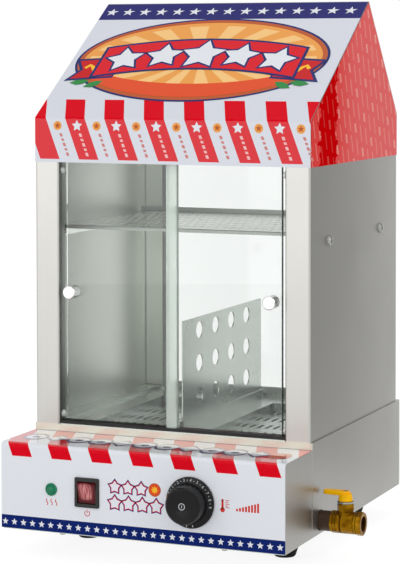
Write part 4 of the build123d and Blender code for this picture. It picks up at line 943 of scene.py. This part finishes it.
def ledgeMotifs(facts):
    # white rounds and lozenges with dark edges across the ledge's stripes
    shapes = []
    wide, deep = facts["wide"], facts["deep"]
    for index in range(facts["count"]):
        place = (facts["first"] + index * facts["pitch"], facts["middle"])
        lozenge = index % 3 == 1
        corners = 4 if lozenge else 48
        inside = (wide - facts["edgeWide"], deep - facts["edgeDeep"])
        shapes.append((ovalPoints(place, wide, deep, corners), "purple", 0))
        shapes.append((ovalPoints(place, *inside, corners), "white", 1))
        if not lozenge:
            shapes.append((ovalPoints(place, *facts["eye"], 32), "purple", 2))
    for layer, (endWide, endDeep, ink) in enumerate(facts["endRounds"]):
        shapes.append((ovalPoints(facts["end"], endWide, endDeep, 40), ink, layer))
    printPiece("ledgeMotifs", onLedge, shapes)


ledgeMotifs(ledgeChain)
print("stage: printed shapes laid on roof, panel and ledge")


# rows of equal prints grow by geometry nodes
def makeRowTree(shape):
    # a row of flat shapes: stars, discs, or bars along the row's own y
    tree = bpy.data.node_groups.new(shape + "Row", "GeometryNodeTree")
    tree.interface.new_socket("Geometry", in_out="OUTPUT", socket_type="NodeSocketGeometry")
    wanted = {"Count": "Int", "Pitch": "Float", "Size": "Float", "Width": "Float", "Turn": "Float",
              "Finish": "Material"}
    for title, kind in wanted.items():
        tree.interface.new_socket(title, in_out="INPUT", socket_type="NodeSocket" + kind)
    given = tree.nodes.new("NodeGroupInput").outputs
    result = tree.nodes.new("NodeGroupOutput")
    step = joined(tree, given["Pitch"])
    line = addNode(tree, "GeometryNodeMeshLine", {"Count": given["Count"], "Offset": step})
    if shape == "star":
        inner = times(tree, given["Size"], given["Width"])
        kind, values = "CurveStar", {"Points": 5, "Outer Radius": given["Size"], "Inner Radius": inner}
    elif shape == "bar":
        kind, values = "CurvePrimitiveQuadrilateral", {"Width": given["Width"], "Height": given["Size"]}
    else:
        kind, values = "CurvePrimitiveCircle", {"Resolution": 28, "Radius": given["Size"]}
    curve = addNode(tree, "GeometryNode" + kind, values)
    filled = addNode(tree, "GeometryNodeFillCurve", {"Curve": curve.outputs["Curve"]})
    spin = joined(tree, z=given["Turn"])
    turned = addNode(tree, "GeometryNodeTransform", {"Geometry": filled.outputs[0], "Rotation": spin})
    placed = addNode(tree, "GeometryNodeInstanceOnPoints", {"Points": line.outputs[0],
                                                            "Instance": turned.outputs[0]})
    real = addNode(tree, "GeometryNodeRealizeInstances", {0: placed.outputs[0]})
    painted = addNode(tree, "GeometryNodeSetMaterial", {"Geometry": real.outputs[0],
                                                        "Material": given["Finish"]})
    feed(tree, result, {0: painted.outputs[0]})
    return tree


rowTrees = {shape: makeRowTree(shape) for shape in ("star", "bar", "disc")}


def evaluatedMesh(holder):
    # the holder's shape as a plain mesh
    bpy.context.view_layer.update()
    mesh = bpy.data.meshes.new_from_object(holder.evaluated_get(bpy.context.evaluated_depsgraph_get()))
    bpy.data.objects.remove(holder)
    return mesh


def growRow(shape, facts):
    # one plain mesh of the row, in its own plane, in millimetres
    holder = addObject("rowHolder", bpy.data.meshes.new("rowHolder"))
    modifier = holder.modifiers.new("row", "NODES")
    modifier.node_group = rowTrees[shape]
    values = dict(facts, Finish=printedInk)
    for item in rowTrees[shape].interface.items_tree:
        if item.in_out == "INPUT" and item.name in values:
            modifier[item.identifier] = values[item.name]
    return evaluatedMesh(holder)


def inkMesh(mesh, ink):
    layer = mesh.color_attributes.new("ink", "FLOAT_COLOR", "CORNER")
    for item in layer.data:
        item.color = inks[ink]


def layRow(build, shape, facts, start, surface, ink, layer, lean=0.0):
    # adds one row to a bmesh, laid on a surface from its start point
    mesh = growRow(shape, facts)
    inkMesh(mesh, ink)
    for vertex in mesh.vertices:
        u, v = vertex.co.x, vertex.co.y
        vertex.co = surface(start[0] + u - v * lean, start[1] + v, printLift * (1 + layer))
    build.from_mesh(mesh)
    bpy.data.meshes.remove(mesh)


def rowsPiece(name, rows):
    build = bmesh.new()
    for row in rows:
        layRow(build, *row)
    bmesh.ops.triangulate(build, faces=build.faces[:])
    layPiece(name, meshOf(name, build, printedInk))


# a star's Size is its reach, and its Width the share of it that its notches have
roofStars = {"Count": 15, "Pitch": 19.72, "Size": 7.3, "Width": 0.39, "Turn": math.pi / 2}
panelStars = {"Count": 30, "Pitch": 10.18, "Size": 3.55, "Width": 0.45, "Turn": math.pi / 2}
firstStars = {"roof": (-139.5, 193.0), "panel": (-148.0, 6.4)}
rowsPiece("roofStars", [("star", roofStars, firstStars["roof"], onRoof, "white", 0)])
rowsPiece("panelStars", [("star", panelStars, firstStars["panel"], onPanel, "white", 0)])

bandMarks = {"whiteCount": 7, "redCount": 6, "iconDrop": 7.0, "round": 4.6, "smallStar": (3.4, 0.48),
             "star": (6.0, 0.5), "dashes": 5, "dashDrop": 17.5, "dashPitch": 4.9, "dashWide": 3.0,
             "dashTalls": (3.4, 2.4)}


def fasciaMarks(facts):
    # a star or a round on top of each stripe, short dashes below it
    pitch, lean = roofPrint["pitch"], roofPrint["lean"]
    whiteStart = roofPrint["first"] + roofPrint["width"] * 1.5
    redStart = roofPrint["first"] + roofPrint["width"] * 0.5 + pitch
    whiteRow, redRow = ({"Count": facts[count], "Pitch": pitch} for count in ("whiteCount", "redCount"))
    iconZ = roof["eavesZ"] - facts["iconDrop"] - 1
    whiteIcon, redIcon = ((start + facts["iconDrop"] * lean, iconZ) for start in (whiteStart, redStart))

    def star(row, sizes):
        return dict(row, Size=sizes[0], Width=sizes[1], Turn=math.pi / 2)

    rows = [
        ("disc", dict(whiteRow, Size=facts["round"], Width=0, Turn=0.0), whiteIcon, onFascia, "tan", 0),
        ("star", star(whiteRow, facts["smallStar"]), whiteIcon, onFascia, "brown", 1),
        ("star", star(redRow, facts["star"]), redIcon, onFascia, "white", 0),
    ]
    for index in range(facts["dashes"]):
        drop = facts["dashDrop"] + index * facts["dashPitch"]
        for first, row, ink in ((whiteStart, whiteRow, "brick"), (redStart, redRow, "palePink")):
            dash = dict(row, Size=facts["dashTalls"][index % 2], Width=facts["dashWide"], Turn=0.0)
            rows.append(("bar", dash, (first + drop * lean, roof["eavesZ"] - drop), onFascia, ink, 0, lean))
    rowsPiece("fasciaMarks", rows)


fasciaMarks(bandMarks)
print("stage: star bands and band marks grown")

dial = {
    "x": 54.7, "z": 42.0, "backY": -72.85, "skirtHigh": 4.0, "skirtFrom": 20.1, "skirtFall": 0.9 / 3.7,
    "lift": 0.05, "figures": 10, "firstAngle": 158.0, "lastAngle": -6.0, "height": 2.9, "radius": 22.3,
    "dot": 0.42, "lines": (-112, -96, -80), "lineHalf": (0.35, 1.2),
    "capY": -93.5, "capRing": (3.4, 2.7), "capMark": (0.35, 1.3),
}


def dialPoint(angle, radius):
    # on the skirt's sloped face
    high = dial["skirtHigh"] - (radius - dial["skirtFrom"]) * dial["skirtFall"]
    return at(dial["x"] + radius * math.cos(angle), dial["backY"] - high - dial["lift"],
              dial["z"] + radius * math.sin(angle))


def capPoint(x, z):
    return at(dial["x"] + x, dial["capY"], dial["z"] + z)


def addFace(build, points):
    build.faces.new([build.verts.new(point) for point in points])


def dialFigures(facts):
    build = bmesh.new()
    middle = facts["radius"]
    step = (facts["lastAngle"] - facts["firstAngle"]) / (facts["figures"] - 1)
    for index in range(facts["figures"]):
        angle = math.radians(facts["firstAngle"] + step * index)
        text = bpy.data.curves.new("figure", "FONT")
        text.body = str(index)
        text.size = facts["height"] * 1.35
        text.align_x = "CENTER"
        text.align_y = "CENTER"
        mesh = evaluatedMesh(addObject("figure", text))
        for vertex in mesh.vertices:
            radius = middle + vertex.co.y
            vertex.co = dialPoint(angle - vertex.co.x / radius, radius)
        build.from_mesh(mesh)
        bpy.data.meshes.remove(mesh)
    # short lines below the figures
    wide, high = facts["lineHalf"]
    for angle in facts["lines"]:
        addFace(build, [dialPoint(math.radians(angle) + side * wide / middle, middle + end * high)
                        for side, end in ((-1, -1), (1, -1), (1, 1), (-1, 1))])
    # a dot between each two figures
    for index in range(facts["figures"] - 1):
        angle = math.radians(facts["firstAngle"] + step * (index + 0.5))
        turns = [math.radians(45 * corner) for corner in range(8)]
        addFace(build, [dialPoint(angle + facts["dot"] * math.cos(turn) / middle,
                                  middle + facts["dot"] * math.sin(turn)) for turn in turns])
    # the ring and mark on the cap's middle
    far, near = facts["capRing"]
    for start in range(0, 360, 15):
        one, two = math.radians(start), math.radians(start + 15)
        corners = ((one, far), (two, far), (two, near), (one, near))
        addFace(build, [capPoint(radius * math.cos(a), radius * math.sin(a)) for a, radius in corners])
    wide, high = facts["capMark"]
    addFace(build, [capPoint(x, z) for x, z in ((-wide, -high), (wide, -high), (wide, high), (-wide, high))])
    build.normal_update()
    bmesh.ops.triangulate(build, faces=build.faces[:])
    for face in build.faces:
        face.normal_update()
        if face.normal.y > 0:
            face.normal_flip()
    data = meshOf("dialFigures", build, printedInk)
    inkMesh(data, "figureGrey")
    layPiece("dialFigures", data, "control_knob")


dialFigures(dial)
print("stage: dial figures made")


def backdropRays(tree):
    # 1 for rays that see the white backdrop: from the camera, off metal and through glass
    path = addNode(tree, "ShaderNodeLightPath", {}).outputs
    seen = larger(tree, path["Is Camera Ray"], path["Is Transmission Ray"])
    return larger(tree, seen, path["Is Glossy Ray"])


def flatSheet(name, corners, material):
    build = bmesh.new()
    addFace(build, corners)
    return addObject(name, meshOf(name, build, material))


# glow is the share of plain white in the floor as seen; the rest shows the object's shadow
studioFloor = {"half": 12, "dark": (0.88, 0.88, 0.88, 1), "pale": (0.92, 0.92, 0.92, 1), "rough": 0.85,
               "glow": 0.72, "level": 1.18, "throughGlass": 0.27}


def paleFloor(facts):
    material, tree, shader = newFinish("paleFloor")
    feed(tree, shader, {
        "Base Color": mixColour(tree, noise(tree, objectPlace(tree), 3.0), facts["dark"], facts["pale"]),
        "Roughness": facts["rough"], "Specular IOR Level": 0.2,
    })
    path = addNode(tree, "ShaderNodeLightPath", {}).outputs
    level = timesPlus(tree, path["Is Transmission Ray"], facts["throughGlass"], facts["level"])
    white = addNode(tree, "ShaderNodeEmission", {"Color": (1, 1, 1, 1), "Strength": level}).outputs[0]
    shade = times(tree, backdropRays(tree), facts["glow"])
    feed(tree, tree.nodes["Material Output"], {"Surface": mixShader(tree, shade, shader.outputs[0], white)})
    half = facts["half"]
    corners = [(-half, -half, 0), (half, -half, 0), (half, half, 0), (-half, half, 0)]
    floor = flatSheet("floor", corners, material)


cardBehind = {"left": 275.0, "right": 1300.0, "y": 450.0, "bottom": -29.0, "top": 1100.0, "level": 0.34}


def greyCard(facts):
    # a grey board behind on the right, seen only as a reflection in the right side
    material, tree, shader = newFinish("greyCard")
    paper = mixColour(tree, noise(tree, objectPlace(tree), 8.0), (1, 1, 1, 1), (0.94, 0.94, 0.93, 1))
    feed(tree, shader, {"Base Color": (0.05, 0.05, 0.05, 1), "Emission Color": paper,
                        "Emission Strength": facts["level"]})
    left, right, low, high = (facts[k] for k in ("left", "right", "bottom", "top"))
    corners = ((left, low), (right, low), (right, high), (left, high))
    card = flatSheet("greyCard", [at(x, facts["y"], z) for x, z in corners], material)
    card.visible_camera = False
    card.visible_diffuse = False
    card.visible_transmission = False
    card.visible_shadow = False


lamps = {
    "frontBox": {"place": (-0.95, -2.15, 0.72), "aim": (0, 0, 0.25), "size": (1.9, 2.1), "power": 16},
    "sideLight": {"place": (1.9, -1.0, 1.3), "aim": (0, 0, 0.25), "size": (1.2, 1.2), "power": 9},
    "topLight": {"place": (0.2, 0.2, 2.3), "aim": (0, 0, 0.2), "size": (1.8, 1.8), "power": 7},
}


def softLight(name, facts):
    data = bpy.data.lights.new(name, "AREA")
    data.shape = "RECTANGLE"
    data.size, data.size_y = facts["size"]
    data.energy = facts["power"]
    lamp = addObject(name, data)
    lamp.location = facts["place"]
    aim = Vector(facts["aim"]) - Vector(facts["place"])
    lamp.rotation_euler = aim.to_track_quat("-Z", "Y").to_euler()
    lamp.visible_transmission = False


def studioWorld(strength):
    world = bpy.data.worlds.new("studio")
    bpy.context.scene.world = world
    world.use_nodes = True
    tree = world.node_tree
    level = timesPlus(tree, backdropRays(tree), 1.0 - strength, strength)
    feed(tree, tree.nodes["Background"], {"Strength": level, "Color": (1, 1, 1, 1)})


paleFloor(studioFloor)
studioWorld(0.62)
greyCard(cardBehind)
for name, facts in lamps.items():
    softLight(name, facts)
bpy.context.scene.view_settings.view_transform = "Standard"
print("stage: floor and light set")
